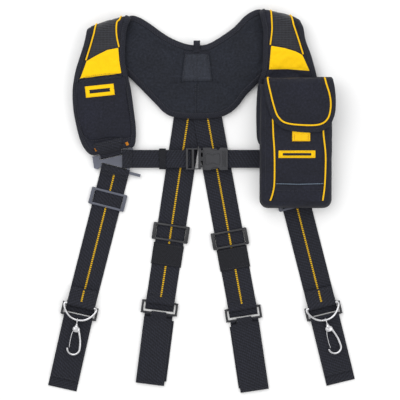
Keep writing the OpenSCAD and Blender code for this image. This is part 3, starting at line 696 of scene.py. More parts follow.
def leg_keeper(leg, down, node):
    """An elastic band sewn round the leg's webbing."""
    fr = on_leg(leg)
    part = Part()
    ys = np.linspace(19, -19, 20)
    corner = [(-26.2, 0.3), (-26.6, 1.6), (-26.0, 2.9), (-24.5, 3.35)]
    outer = np.array(corner + [(x, 3.45) for x in np.linspace(-20, 20, 9)] + [(-a, b) for a, b in corner[::-1]])
    inner = outer * np.array([0.985, 1]) - np.array([0, 0.75])
    inner[:, 1] = np.maximum(inner[:, 1], 0.25)
    inner[0, 0] += 0.6
    inner[-1, 0] -= 0.6
    loop = np.vstack([outer, inner[::-1]])
    verts, uv = [], []
    for i, y in enumerate(ys):
        ripple = 0.12 * math.sin(i * 1.9)
        for x, z in loop:
            verts.append((x, y - down, z + (ripple if z > 2.8 else 0)))
            uv.append((y, x + 30))
    part.add(fr(verts), rings(len(ys), len(loop)), uv)
    for y in (16.5, -16.5):
        flat_stitches(part, fr, [(-23, y - down), (23, y - down)], 3.5, m=1)
    part.build(node + "_band", [ELASTIC, THREAD_K], node, (node,), "webbing")


# The D ring's height and drop, and where the swivel eye and the hook's body start.
D_Z, D_DROP, EYE_Z, EYE_Y = 8.6, 26.0, 10.3, -27.2
HOOK_Y = EYE_Y - 6.2


def on_hook(leg, dy=0.0):
    """A hook's own place: swung round its D ring, with y from the belt ring's upper bar."""
    base = on_tongue(leg)
    swing = turned((0, 0), 5.3)
    def f(p):
        p = np.asarray(p, float) + np.array([0, D_DROP + dy, EYE_Z])
        return base(swing(p) + np.array([0, -D_DROP, 0]))
    return f


def d_ring(leg):
    """A steel D ring, and the swivel eye that hangs on it."""
    side = leg.split("_")[1]
    part = Part()
    a = np.radians(np.linspace(0, 180, 30))
    bow = np.column_stack([-29 * np.cos(a), -D_DROP * np.sin(a), D_Z + 1.6 * np.sin(a)])
    bow[:, 0] *= 1 - 0.06 * np.sin(2 * a) ** 2
    bar = np.column_stack([np.linspace(27.5, -27.5, 20), np.zeros(20), np.full(20, D_Z)])
    path = resample(np.vstack([bow[1:-1], bar]), 1.6)
    tube(part, on_tongue(leg)(path), 1.9, True, 16)
    part.build("d_ring_wire_" + side, STEEL, "d_ring_" + side, ("d_ring_" + side,), "steel")
    part = Part()
    h = on_hook(leg)
    a = np.radians(np.linspace(0, 360, 28, endpoint=False))
    eye = np.column_stack([np.zeros(28), EYE_Y + 4.5 * np.cos(a), 4.5 * np.sin(a)])
    tube(part, h(eye), 1.15, True, 12, up=(0.3, 1, 0.2))
    lathe(part, h, [(EYE_Y - 4.4, 1.2), (EYE_Y - 5.4, 1.9), (EYE_Y - 7.4, 1.8), (HOOK_Y - 3.8, 1.8),
                    (HOOK_Y - 3.9, 2.6), (HOOK_Y - 5.4, 2.6)])
    part.build("swivel_eye_" + side, STEEL, "d_ring_" + side, ("hook_eye_" + side,), "steel")


def lathe(part, frame_of, prof):
    """A turned shape along local Y, from (y, radius) pairs."""
    sides = 24
    a = np.linspace(0, 2 * math.pi, sides, endpoint=False)
    verts = [(r * math.cos(t), y, r * math.sin(t)) for y, r in prof for t in a]
    part.add(frame_of(verts), rings(len(prof), sides), [v[:2] for v in verts])


def snap_hook(leg):
    """The hook's pinched head, bent wire and rivet, and its wire gate."""
    side = leg.split("_")[1]
    h = on_hook(leg, HOOK_Y)
    part = Part()
    lathe(part, h, [(-1.0, 2.6), (-1.4, 3.2), (-3.4, 3.4), (-4.6, 3.9), (-6.4, 4.3)])
    # the pinched head, thinner across than along
    n, s = 18, 20
    verts = []
    for i in range(n):
        u = i / (n - 1)
        y = -4.5 - 9.5 * u
        w = 6.6 * math.sqrt(max(0.02, 1 - ((u - 0.45) / 0.62) ** 2))
        t = 3.15 * math.sqrt(max(0.05, 1 - ((u - 0.4) / 0.75) ** 2))
        for k in range(s):
            a = 2 * math.pi * k / s
            ca, sa = math.cos(a), math.sin(a)
            verts.append((0.6 * u + w * math.copysign(abs(ca) ** 0.8, ca), y,
                          t * math.copysign(abs(sa) ** 0.7, sa)))
    part.add(h(verts), rings(n, s), [v[:2] for v in verts])
    shank = [(3.2, -8), (5.4, -13), (7.5, -20), (9.2, -27), (10.1, -34)]
    p = catmull(shank + arc(-0.5, -42.5, 10.8, 0, -180, 13), 4, False)
    r = np.interp(np.linspace(0, 1, len(p)), [0, 0.12, 0.5, 0.93, 1], [2.3, 1.85, 1.8, 1.8, 1.45])
    tube(part, h(at_z(p, 0)), r, sides=16)
    for z0, z1 in ((2.9, 3.5), (-3.5, -2.9)):
        a = np.linspace(0, 2 * math.pi, 20, endpoint=False)
        rad = [(2.0, z0), (2.0, (z0 + z1) / 2), (1.3, z1 if z1 > 0 else z0)]
        verts = [(-2.5 + r * math.cos(t), -9.5 + r * math.sin(t), z) for r, z in rad for t in a]
        part.add(h(verts), rings(3, 20, caps=False) + [[40 + j for j in range(20)]], [v[:2] for v in verts])
    part.build("snap_hook_" + side, STEEL, "hook_" + side, ("hook_" + side,), "steel")
    part = Part()
    g = catmull([(-4.0, -10.8), (-5.4, -14), (-6.9, -20), (-7.8, -30), (-8.1, -37), (-8.05, -41.4)], 5, False)
    for dz in (-0.55, 0.55):
        tube(part, h(at_z(g, dz)), 0.6, sides=10)
    a = np.radians(np.linspace(180, 540, 22))
    coil = np.column_stack([-2.5 + 2.6 * np.cos(a), -9.5 + 2.6 * np.sin(a), np.linspace(-0.7, 0.7, 22)])
    tube(part, h(coil), 0.55, sides=10)
    tube(part, h([(-8.05, -40.7, -0.7), (-8.05, -41.3, 0), (-8.05, -40.7, 0.7)]), 0.6, sides=10)
    part.build("wire_gate_" + side, STEEL, "gate_" + side, ("hook_gate_" + side,), "steel")


for leg in LEGS:
    leg_strap(leg)
    last = tongues(leg)
    if leg == "front_right":
        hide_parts("front_tongues")
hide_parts("back_under_tongues")
belt_rings(["front_left", "front_right"], "front", "front_rings")
belt_rings(["back_left", "back_right"], "back", "back_rings")
for leg, down in SLIDES.items():
    slider(leg, down, "grey_plastic" if leg.startswith("front") else "black_plastic")
leg_keeper("back_left", 292, "back_keeper_left")
leg_keeper("back_right", 300, "back_keeper_right")
for leg in ("front_left", "front_right"):
    d_ring(leg)
    snap_hook(leg)


# ---------------------------------------------------------------- padded pieces
def lumps(p, size, seed=0.0):
    """Smooth unevenness from -1 to 1 over the plane."""
    return np.array([noise.noise(Vector((x / size, y / size, seed))) for x, y in p])


# Half of a pad's thickness, from its middle surface to each skin.
FOAM_HALF = 5.72


class Cushion:
    """A foam pad under cloth. place(p, n) puts a flat point n off the pad's middle surface."""

    # hold is the width under the edge tape, which stays as it is when the cushion is filled
    def __init__(self, outline, place, half=FOAM_HALF, w=14.0, seams=(), raised=(), seed=0.0, hold=10.5):
        self.outline, self.place, self.half, self.w = np.asarray(outline, float), place, half, w
        self.seams, self.raised, self.seed, self.hold = seams, raised, seed, hold

    def dome(self, d):
        """How far the skin bulges at a distance d from the outline."""
        return self.half * np.sqrt(1 - (1 - np.clip(d / self.w, 0, 1)) ** 2)

    def height(self, p):
        p = np.asarray(p, float)
        d = distance(p, self.outline)
        h = self.dome(d)
        k = np.clip(d / 9, 0, 1)
        for poly, lift in self.raised:
            s = distance(p, poly) * np.where(inside(p, poly), 1, -1)
            h = h + lift * np.clip(s / 3 + 0.2, 0, 1)
        for line, closed, depth, width in self.seams:
            s = distance(p, line, closed)
            h = h - k * depth * np.exp(-(s / width) ** 2)
            pull = np.exp(-(s / 9.0) ** 2) * (s > 0.8)
            h = h + 0.22 * k * pull * lumps(p, 4.6, self.seed + 7)
        return h + k * (0.45 * lumps(p, 34, self.seed) + 0.18 * lumps(p, 11, self.seed + 3))

    def on(self, p, lift=0.0):
        p = np.asarray(p, float)
        return self.place(p, self.height(p) + lift)

    def normal(self, p):
        h = self.height(p)
        return unit(self.place(p, h + 1) - self.place(p, h))

    def body(self, step, lines, classes=(), back=0):
        """Both skins, with edges along the lines. classes gives the material inside each polygon."""
        part = Part()
        pts, tris = skin(self.outline, step, lines)
        count = {}
        for t in tris:
            for a, b in zip(t, t[1:] + t[:1]):
                count[frozenset((a, b))] = count.get(frozenset((a, b)), 0) + 1
        rim = {i for e, c in count.items() if c == 1 for i in e}
        edge = distance(pts, self.outline)
        h, under = self.height(pts), self.dome(edge)
        h[list(rim)] = under[list(rim)] = 0
        n = len(pts)
        verts = np.vstack([self.place(pts, h), self.place(pts, -under)])
        mid = pts[np.array(tris)].mean(1)
        m = np.zeros(len(tris), int)
        for k, poly in classes:
            m[inside(mid, poly)] = k
        low = [[i if i in rim else i + n for i in t[::-1]] for t in tris]
        part.add(verts, tris + low, np.vstack([pts, pts]), list(m) + [back] * len(tris))
        held = edge < self.hold
        for q, c in lines:
            held |= distance(pts, q, c) < 0.4
        self.fixed = rim | set(np.nonzero(held)[0].tolist())
        self.count = n
        return part

    def tape(self, part, wide=8.0, m=0):
        """Edge tape folded over the rim, with a row of stitches on its upper side."""
        p = resample(self.outline, 2.6)
        mid = self.place(p, np.zeros(len(p)))
        up = unit(self.place(p, np.ones(len(p))) - mid)
        a = [(-wide, self.dome(wide) + 0.35)]
        a += [(-wide * s, self.dome(wide * s) + 0.75) for s in (0.72, 0.46, 0.22, 0.06)]
        a += [(0.75, 1.4), (1.0, 0)]
        prof = a + [(x, -z) for x, z in reversed(a[:-1])]
        prof += [(-wide, 1.2 - a[0][1]), (-wide * 0.5, -2.5), (-1.8, 0), (-wide * 0.5, 2.5),
                 (-wide, a[0][1] - 1.2)]
        ribbon(part, mid, up, prof, True, m)

    def tape_stitches(self, part, wide=8.0, m=1):
        p = resample(inset(resample(self.outline, 2.6), wide - 1.6), 1.2)
        q = np.vstack([p, p[:1]])
        h = np.full(len(q), self.dome(wide - 1.6) + 0.62)
        c = self.place(q, h)
        stitches(part, c, unit(self.place(q, h + 1) - c), m=m, r=0.3, lift=0.16)


def points_of(me):
    co = np.empty(len(me.vertices) * 3)
    me.vertices.foreach_get("co", co)
    return co.reshape(-1, 3)


def puff(ob, cushion, cap, pressure=4.0, grow=0.02, frames=14):
    """Fills a cushion with air as cloth, held at its seams, so that it swells and wrinkles.

    No point moves further than cap millimetres.
    """
    me = ob.data
    before = points_of(me)
    pins = ob.vertex_groups.new(name="pin")
    pins.add(list(cushion.fixed), 1.0, "REPLACE")
    pins.add([i + cushion.count for i in range(cushion.count)], 0.8, "REPLACE")
    mod = ob.modifiers.new("cloth", "CLOTH")
    s = mod.settings
    s.quality, s.mass = 5, 0.2
    s.tension_stiffness = s.compression_stiffness = 12
    s.shear_stiffness, s.bending_stiffness = 5, 0.25
    s.use_pressure, s.uniform_pressure_force = True, pressure
    s.shrink_min = -grow
    s.vertex_group_mass = "pin"
    s.effector_weights.gravity = 0
    mod.collision_settings.use_collision = False
    mod.point_cache.frame_start, mod.point_cache.frame_end = 1, frames
    scene = bpy.context.scene
    for f in range(1, frames + 1):
        scene.frame_set(f)
    after = points_of(ob.evaluated_get(bpy.context.evaluated_depsgraph_get()).data)
    ob.modifiers.remove(mod)
    ob.vertex_groups.remove(pins)
    scene.frame_set(1)
    move = after - before
    far = np.linalg.norm(move, axis=1, keepdims=True)
    move *= np.minimum(1, cap * MM / np.maximum(far, 1e-9))
    me.vertices.foreach_set("co", (before + move).astype(np.float32).ravel())
    me.update()


FOLD = {"left": [(-196, 309), (-160, 320.6), (-126, 328.6)],
        "right": [(105, 339.6), (138, 332.6), (169, 323.6)]}
PAD = {"left": [(-198.5, 306), (-203, 281), (-213, 249), (-219, 229), (-224, 198), (-223, 165),
                (-218, 136), (-210, 107), (-199, 89), (-188, 84), (-172, 88), (-150, 93), (-130, 96.5),
                (-119, 99), (-115.5, 113), (-115.5, 131), (-118, 154), (-124, 198), (-129, 221),
                (-134, 248), (-133.5, 280), (-131, 304), (-125, 322)],
       "right": [(103, 330), (106, 316), (109, 300), (108.5, 276), (107, 232), (100, 209), (97, 170),
                 (97, 131), (99, 109), (107, 98), (119, 97), (130, 96.5), (150, 93), (172, 88), (187, 86),
                 (195, 106), (201, 136), (204, 165), (205, 198), (201, 219), (191, 256), (181, 283),
                 (177, 305), (172, 318)]}
MESH = {"left": [(-183, 345), (-182, 309), (-187, 289), (-193, 269), (-198.5, 250), (-182, 259.5),
                 (-164, 268.4), (-145, 272), (-148.5, 292), (-148.5, 311), (-143, 318), (-139, 345)],
        "right": [(121, 350), (122.6, 328), (124, 300), (122, 276), (145, 272), (164, 266), (175, 260.5),
                  (165.5, 291), (156.5, 320), (150, 350)]}
ACCENT = {"left": [(-200, 247.5), (-182, 257.8), (-164, 266.8), (-145, 270.4), (-143, 247),
                   (-139.7, 226.6), (-175, 221), (-211, 217.7)],
          "right": [(118, 233), (121.6, 274.1), (145, 270.1), (165, 264), (176, 258), (188.5, 230.5),
                    (150, 233.5)]}
PIPES = {"left": [[(-181.5, 345), (-181.5, 328), (-183, 311), (-189, 289), (-195, 268.6), (-201.2, 249)],
                  [(-138, 345), (-139, 330), (-142, 317), (-147.6, 311), (-147.6, 292), (-143.6, 271.8)]],
         "right": [[(119.5, 350), (121.6, 329), (122.6, 315), (122.8, 300), (120, 275.6)],
                   [(148, 350), (157.6, 319), (167.3, 290.5), (177.2, 259.3)]]}
POCKET = [(-212, 213), (-139, 221.5), (-132, 190), (-126, 150), (-124, 130), (-128, 116), (-160, 116.5),
          (-190, 112), (-205, 122), (-215, 150), (-217, 185)]


# The height of the yoke's middle surface, where the pads' lower ends lie too.
YOKE_Z = 8.02


def over_shoulder(side):
    """Places the pad's flat pattern: up the tilted plane, round the shoulder, and back underneath."""
    fold = np.array(FOLD[side])

    def place(p, n):
        p, n = np.asarray(p, float), np.broadcast_to(np.asarray(n, float), (len(p),))
        x, s = p[:, 0], p[:, 1]
        yc = np.interp(x, fold[:, 0], fold[:, 1]) - 15.9
        out = on_pad(np.column_stack([x, np.minimum(s, yc), FOAM_HALF + n]))
        base = on_pad(np.column_stack([x, yc, np.full(len(p), FOAM_HALF)]))
        r = (base[:, 2] - YOKE_Z) / (1 + math.cos(TILT))
        th = np.clip((s - yc) / r, 0, math.pi + TILT)
        more = np.maximum(0, s - yc - r * (math.pi + TILT))
        y = base[:, 1] + r * (np.sin(th - TILT) + math.sin(TILT)) - more + n * np.sin(th - TILT)
        z = base[:, 2] + r * (np.cos(th - TILT) - math.cos(TILT)) + n * np.cos(th - TILT)
        bent = s > yc
        out[bent] = np.column_stack([x, y, z])[bent]
        return out
    return place


def bend(ob):
    """Bakes the piece's place into its mesh; the turn over the shoulder is already in its points."""
    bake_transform(ob)
    return ob


def shoulder_pad(side):
    left = side == "left"
    fold = np.array(FOLD[side])
    top = [(x, np.interp(x, fold[:, 0], fold[:, 1]) + 26)
           for x in ((-125, -142, -160, -178, -196.5) if left else (171, 155, 138, 120, 103.5))]
    outline = catmull(top + PAD[side] if left else PAD[side] + top, 6)
    seams = [(ACCENT[side], True, 0.8, 1.5), (MESH[side], True, 0.7, 1.6)]
    pad = Cushion(outline, over_shoulder(side), seams=seams, raised=[(ACCENT[side], 0.5)],
                  seed=3.0 if left else 11.0)
    part = pad.body(3.4, [(MESH[side], True), (ACCENT[side], True)], [(1, MESH[side]), (2, ACCENT[side])], 0)
    ob = part.build("shoulder_pad_" + side, [CLOTH, NET, YELLOW])
    puff(ob, pad, cap=2.0 if left else 1.3)
    bend(ob)
    tape = Part()
    pad.tape(tape)
    pad.tape_stitches(tape)
    tp = bend(tape.build("shoulder_tape_" + side, [BINDING, THREAD_K], slot="shell_fabric"))
    pipe = Part()
    for line in PIPES[side]:
        q = resample(catmull(line, 8, False), 2.0, False)
        piping(pipe, pad.on(q, 1.0), pad.normal(q), 1.35, [[0.9, -0.9], [2.3, -1.0], [2.3, -0.55], [1.0, -0.2]])
    pp = bend(pipe.build("shoulder_piping_" + side, [YELLOW_TAPE, BINDING], slot="yellow_fabric"))
    return pad, ob, tp, pp


def panel(part, pad, poly, thick, step, m=0, crown=0.0, w=6.0):
    """A flat piece sewn on a pad: its own slightly crowned skin with a turned edge."""
    poly = np.asarray(poly, float)
    pts, tris = skin(poly, step, [(inset(poly, 1.0), True)])
    d = distance(pts, poly)
    lift = thick * np.clip(d / 0.9, 0, 1) ** 0.5 + crown * (1 - (1 - np.clip(d / w, 0, 1)) ** 2) - 0.25
    lift -= 0.35 * np.exp(-((d - 2.6) / 0.7) ** 2)
    part.add(pad.place(pts, pad.height(pts) + lift), tris, pts, m)


def stitches_on(pad, part, line, closed, lift, **kw):
    """Stitches along a flat line on a pad."""
    q = round_trip(line, closed)
    stitches(part, pad.on(q, lift), pad.normal(q), **kw)


# ---------------------------------------------------------------- the yoke and what is sewn on it
YOKE = [(166, 303), (152, 316), (138, 320), (118, 330), (104, 337), (92, 335), (76, 325), (54, 303),
        (15, 278), (-8, 274.5), (-30, 277.5), (-59, 290), (-92, 313), (-110, 323.5), (-124, 326),
        (-142, 318), (-165, 308), (-190, 298), (-176, 268), (-126, 220.5), (-82, 176), (-64, 158),
        (-47, 150.5), (-8, 147), (34, 151), (59, 165), (78, 189), (98, 209), (150, 262)]
BADGE = [(-29, 262), (13, 262), (19, 212), (-35, 212)]


def yoke():
    """The back pad with its tape, its centre patch and the hang loop."""
    seams = [([(-8, 268), (-8, 262.5)], False, 1.5, 1.5), ([(-8, 211.5), (-8, 151)], False, 1.5, 1.5),
             (BADGE, True, 1.5, 1.5), ([(-36, 211), (-47, 208), (-62, 199), (-78, 184)], False, 1.6, 3.5),
             ([(20, 211), (34, 207), (47, 199), (60, 186)], False, 1.6, 3.5),
             ([(-134, 290), (-112, 286), (-86, 289)], False, 1.0, 5.0),
             ([(98, 302), (112, 296), (128, 294)], False, 1.0, 5.0)]
    pad = Cushion(catmull(YOKE, 6), lambda p, n: np.column_stack([p, YOKE_Z + np.broadcast_to(n, (len(p),))]),
                  w=16.0, seams=seams, seed=21.0, hold=12)
    cuts = [([(-8, 268), (-8, 263)], False), ([(-8, 211), (-8, 151)], False), (BADGE, True)]
    part = pad.body(3.8, cuts, back=1)
    ob = part.build("yoke_pad", [LINING, CLOTH])
    puff(ob, pad, cap=2.0)
    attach(ob, "back")
    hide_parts("yoke_shell", "yoke_foam", "yoke_lining")
    tape = Part()
    pad.tape(tape, wide=9.5)
    pad.tape_stitches(tape, wide=9.5)
    tape.build("yoke_tape", [BINDING, THREAD_K], "back", ("yoke_binding",), "shell_fabric")
    part = Part()
    panel(part, pad, BADGE, 1.7, 2.4, crown=0.9, w=12)
    top = [(-31, 264.5), (15, 264.5), (14, 259), (-30, 259)][::-1]
    panel(part, pad, top, 2.4, 1.6, m=1, crown=0.4)
    stitches_on(pad, part, [(-27, 258), (-32.5, 214), (16.5, 214), (11, 258)], False, 2.3, m=2, r=0.34)
    for line in ([(-26, 258), (-9, 216)], [(10, 258), (-7, 216)], [(-8, 258), (-8, 216)]):
        q = resample(line, 1.5, False)
        tube(part, pad.on(q, 1.9), 0.75, sides=8, up=pad.normal(q))
        stitches_on(pad, part, line, False, 2.75, m=2, r=0.3)
    for x in (-10.2, -5.8):
        stitches_on(pad, part, [(x, 209), (x, 157)], False, 0.2, m=2, r=0.3)
    part.build("yoke_patch_cloth", [PATCH, BINDING, THREAD_K], "back", ("yoke_patch",), "shell_fabric")
    # hang loop: a short tape sewn down at both ends and standing up in between
    part = Part()
    mid = [(262.5, 14.6), (266, 14.7), (269, 15.4), (272, 17.6), (276, 18.9), (280, 18.4), (282.6, 15.9),
           (281.8, 12.8), (278.5, 11.2), (275, 10.4)]
    web(part, lambda p: p + np.array([-8, 0, 0]), catmull(mid, 5, False), 11.5, 1.3, step=1.2)
    part.build("hang_tape", [BINDING], "back", ("hang_loop",), "webbing")


# ---------------------------------------------------------------- shoulder pads, pocket and patches
def pads():
    """Both shoulder pads, and the left one's pocket and patch."""
    made = {}
    for side in ("left", "right"):
        pad, ob, tape, pipe = shoulder_pad(side)
        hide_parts("pad_shell_" + side, "pad_foam_" + side, "pad_face_" + side)
        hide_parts("pad_binding_" + side)
        made[side] = pad
        if side == "left":
            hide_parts("mesh_panels", "accent_panels")
            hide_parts("pad_pipings")
    left = made["left"]
    part = Part()
    pocket = catmull(POCKET, 5)
    panel(part, left, pocket, 1.5, 3.0, crown=1.1, w=26)
    stitches_on(left, part, inset(resample(pocket, 3), 3.2), True, 1.55, m=1, r=0.32)
    hem = [(-213, 214.5), (-138.5, 223), (-137.5, 217.5), (-213.5, 208.5)][::-1]
    panel(part, left, hem, 2.3, 1.8, m=2, crown=0.3)
    part.build("pad_pocket", [CLOTH2, THREAD_K, BINDING], "front", ("patch_pocket",), "shell_fabric")
    part = Part()
    patch, bar = (turned((-177, 196), 6)([(-x, -y, 0), (x, -y, 0), (x, y, 0), (-x, y, 0)])[:, :2]
                  for x, y in ((26, 10.5), (19, 4)))
    panel(part, left, patch, 3.1, 1.5, crown=0.5, w=5)
    stitches_on(left, part, inset(resample(patch, 1.0), 1.8), True, 3.0, m=1, r=0.36, pitch=2.6, length=1.8)
    panel(part, left, bar, 4.1, 1.5, m=3, crown=0.2)
    part.build("name_patch_cloth", [YELLOW, THREAD_Y, THREAD_K, BINDING], "front", ("name_patch",),
               "yellow_fabric")
    return made


# ---------------------------------------------------------------- webbing between pads and links, chest strap
def pad_loop(side, pad, part):
    """The webbing from a pad's lower end round its link, with two tacks at the pad's corners."""
    k = 1 if side == "left" else -1
    frame_of = turned((-155 * k, 85.5), 13.0 * k)
    path = [(24, 20.5), (20, 20.3), (13, 19.9), (8.5, 18.6), (5.4, 15.0), (4.2, 11.0), (2.4, 8.9), (-1.2, 8.35),
            (-3.6, 6.9), (-3.8, 3.2), (-2.2, 1.5), (1, 1.3), (5, 2.2), (10, 3.8)]
    path = resample(catmull(path, 5, False), 1.3, False)
    wide = np.clip(0.90 + (path[:, 0] - 4) * 0.017, 0.90, 1.2) * np.where(path[:, 1] > 10, 1, 0.95)
    web(part, frame_of, path, 44, 2.0, x=-3.6 * k, edge=wide)
    for y, z in ((21.5, 21.35), (17.5, 21.2)):
        flat_stitches(part, frame_of, [(-24 - 3.6 * k, y), (24 - 3.6 * k, y)], z, m=1)
    for x, y in ((-183.7 * k, 93.5), (-129.8 * k, 103.4)):
        for b in np.arange(-2.6, 2.7, 0.75):
            q = resample(turned((x, y), 25 * k)([(-2.4, b, 0), (2.4, b, 0)])[:, :2], 0.6, False)
            tube(part, pad.on(q, 0.9), 0.42, sides=6, m=2)


def loops(made):
    part = Part()
    for side, pad in made.items():
        pad_loop(side, pad, part)
    part.build("pad_end_webbing", [WEBBING, THREAD_K, THREAD_O], "front", ("pad_loops",), "webbing")


# The chest strap's middle line: where it runs across, and its height.
CHEST_Y, CHEST_Z = 76.4, 8.1


def chest(p):
    """Places the chest strap: y runs along the strap from its left end, x across it."""
    p = np.asarray(p, float)
    return np.column_stack([p[:, 1], CHEST_Y + p[:, 0], p[:, 2]])


def chest_web(part, x0, x1, mirror=1, w=31.5):
    """Half of the chest strap, lapped and sewn down at its link."""
    f = lambda p: chest(p) * np.array([mirror, 1, 1])
    web(part, f, [(x, CHEST_Z) for x in (x0 + 0.4, x1)], w, 1.9, step=2.5)
    lap = [(x0 + 0.9, 8.8), (x0 + 1.6, 10.1), (x0 + 4, 10.7), (x0 + 8, 10.3), (x0 + 12, 9.9), (x0 + 17.5, 9.75)]
    web(part, f, catmull(lap, 4, False), w - 0.6, 1.5, step=1.5)
    box_stitch(part, f, -w / 2 + 4, w / 2 - 4, x0 + 8, x0 + 16, 10.75, m=1)


def chest_straps():
    """Both halves of the chest strap, and the keeper on the left one."""
    part = Part()
    chest_web(part, -138.9, -18)
    for x in (-14.2, 14.2):
        flat_stitches(part, chest, [(x, -110), (x, -30)], 9.1, m=1, r=0.26)
    ob = part.build("chest_webbing_left", [WEBBING, THREAD_K], "front", ("chest_strap_left",), "webbing")
    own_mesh(ob)
    part = Part()
    chest_web(part, -138.9, -42, -1)
    part.build("chest_webbing_right", [WEBBING, THREAD_K], "front", ("chest_strap_right",), "webbing")
    part = Part()
    half, thick = 17.7, 2.3
    ring = [(-half, -thick), (half, -thick), (half + 0.6, 0), (half, thick + 0.2), (0, thick + 0.35),
            (-half, thick + 0.2), (-half - 0.6, 0)]
    ys = np.linspace(-5.8, 5.8, 9)
    verts = [(x * a, y, CHEST_Z + z * b) for a, b in ((1, 1), (0.965, 0.62)) for y in ys for x, z in ring]
    n, m = len(ring), len(ys) * len(ring)
    faces = []
    for q in rings(len(ys), n, caps=False):
        faces += [q, [m + k for k in q[::-1]]]
    for i in (0, len(ys) - 1):
        faces += [[i * n + j, i * n + (j + 1) % n, m + i * n + (j + 1) % n, m + i * n + j] for j in range(n)]
    part.add(chest(verts) + np.array([-68, 0, 0]), faces, [(y, x) for x, y, _ in verts])
    part.build("chest_keeper_band", [ELASTIC], "chest_keeper", ("chest_keeper",), "webbing")


# ---------------------------------------------------------------- pouch
POUCH = np.array([164.5, 208, 13.64])


def at_pouch(p):
    return on_pad(np.asarray(p, float) + POUCH)


def pouch_size(y):
    """The pouch's half width and depth, at y down from its mouth."""
    y = abs(y)
    u, v = np.clip((y - 196) / 20, 0, 1), np.clip((y - 200) / 16, 0, 1)
    swell = math.sin(math.pi * min(y, 200) / 210)
    deep = (27.6 + 1.7 * swell) * (1 - u ** 3) ** (1 / 2.6)
    return 61.5 + 1.2 * swell - 15 * (1 - math.sqrt(1 - v * v)), deep


def pouch_front(p, lift=0.0):
    """Points over the pouch's front."""
    out = []
    for x, y in np.asarray(p, float):
        w, d = pouch_size(y)
        z = d * max(0.0, 1 - min(1, abs(x) / w) ** 5) ** 0.2
        out.append((x, y, 1.9 + z + lift))
    return at_pouch(out)


def front_normal(p):
    p = np.asarray(p, float)
    across, along = (pouch_front(p + e) - pouch_front(p - e) for e in np.eye(2) * 0.5)
    return unit(np.cross(across, along))


def stitches_front(part, line, step, lift, **kw):
    """Stitches along a line on the pouch's front."""
    q = resample(line, step, False)
    stitches(part, pouch_front(q, lift), front_normal(q), **kw)


def pouch_body():
    """The pouch's cloth from mouth to bottom, with a bound mouth."""
    part = Part()
    ys = np.concatenate([np.linspace(0, -9, 4), np.linspace(-12, -196, 46),
                         -196 - 20 * np.sin(np.linspace(0.15, 1.57, 12))])
    k, rows, uvs = 56, [], []
    for y in ys:
        w, d = pouch_size(y)
        a = np.linspace(0, math.pi, 500)
        c = np.column_stack([-w * np.sign(np.cos(a)) * np.abs(np.cos(a)) ** 0.4,
                             max(d, 0.1) * np.sin(a) ** 0.4])
        run = run_of(c)
        t = np.linspace(0, run[-1], k)
        c = np.column_stack([np.interp(t, run, c[:, 0]), np.interp(t, run, c[:, 1])])
        face = np.clip(c[:, 1] / max(d, 1) - 0.3, 0, 1)
        q = np.column_stack([c[:, 0], np.full(k, y)])
        z = c[:, 1] + face * (0.55 * lumps(q, 30, 5) + 0.2 * lumps(q, 9, 8)) * min(1, (216 + y) / 15)
        side = (1 - face) * 1.1 * lumps(np.column_stack([c[:, 1] * 1.4, np.full(k, y)]), 24, 12) * np.sin(
            math.pi * np.clip(c[:, 1] / max(d, 1), 0, 1))
        rim = 0.7 if abs(y) < 9.5 else 0
        rows.append(np.column_stack([c[:, 0] * (1 + (side + rim) / 62), np.full(k, y), 1.9 + z + rim]))
        uvs.append(np.column_stack([t, np.full(k, y)]))
    n = len(ys)
    faces = [[i * k + j, i * k + j + 1, (i + 1) * k + j + 1, (i + 1) * k + j]
             for i in range(n - 1) for j in range(k - 1)]
    mats = [1 if i < 3 else 0 for i in range(n - 1) for _ in range(k - 1)]
    faces.append([(n - 1) * k + j for j in range(k)])
    mats.append(0)
    part.add(at_pouch(np.vstack(rows)), faces, np.vstack(uvs), mats)
    ob = part.build("pouch_shell", [CLOTH2, BINDING])
    # the mouth is open, so the cloth has its thickness on the inside
    mod = ob.modifiers.new("cloth thickness", "SOLIDIFY")
    mod.thickness, mod.offset = 1.6 * MM, -1
    if sum(p.normal.z for p in ob.data.polygons) < 0:
        ob.data.flip_normals()
    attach(ob, "front")
    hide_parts("pouch_body")


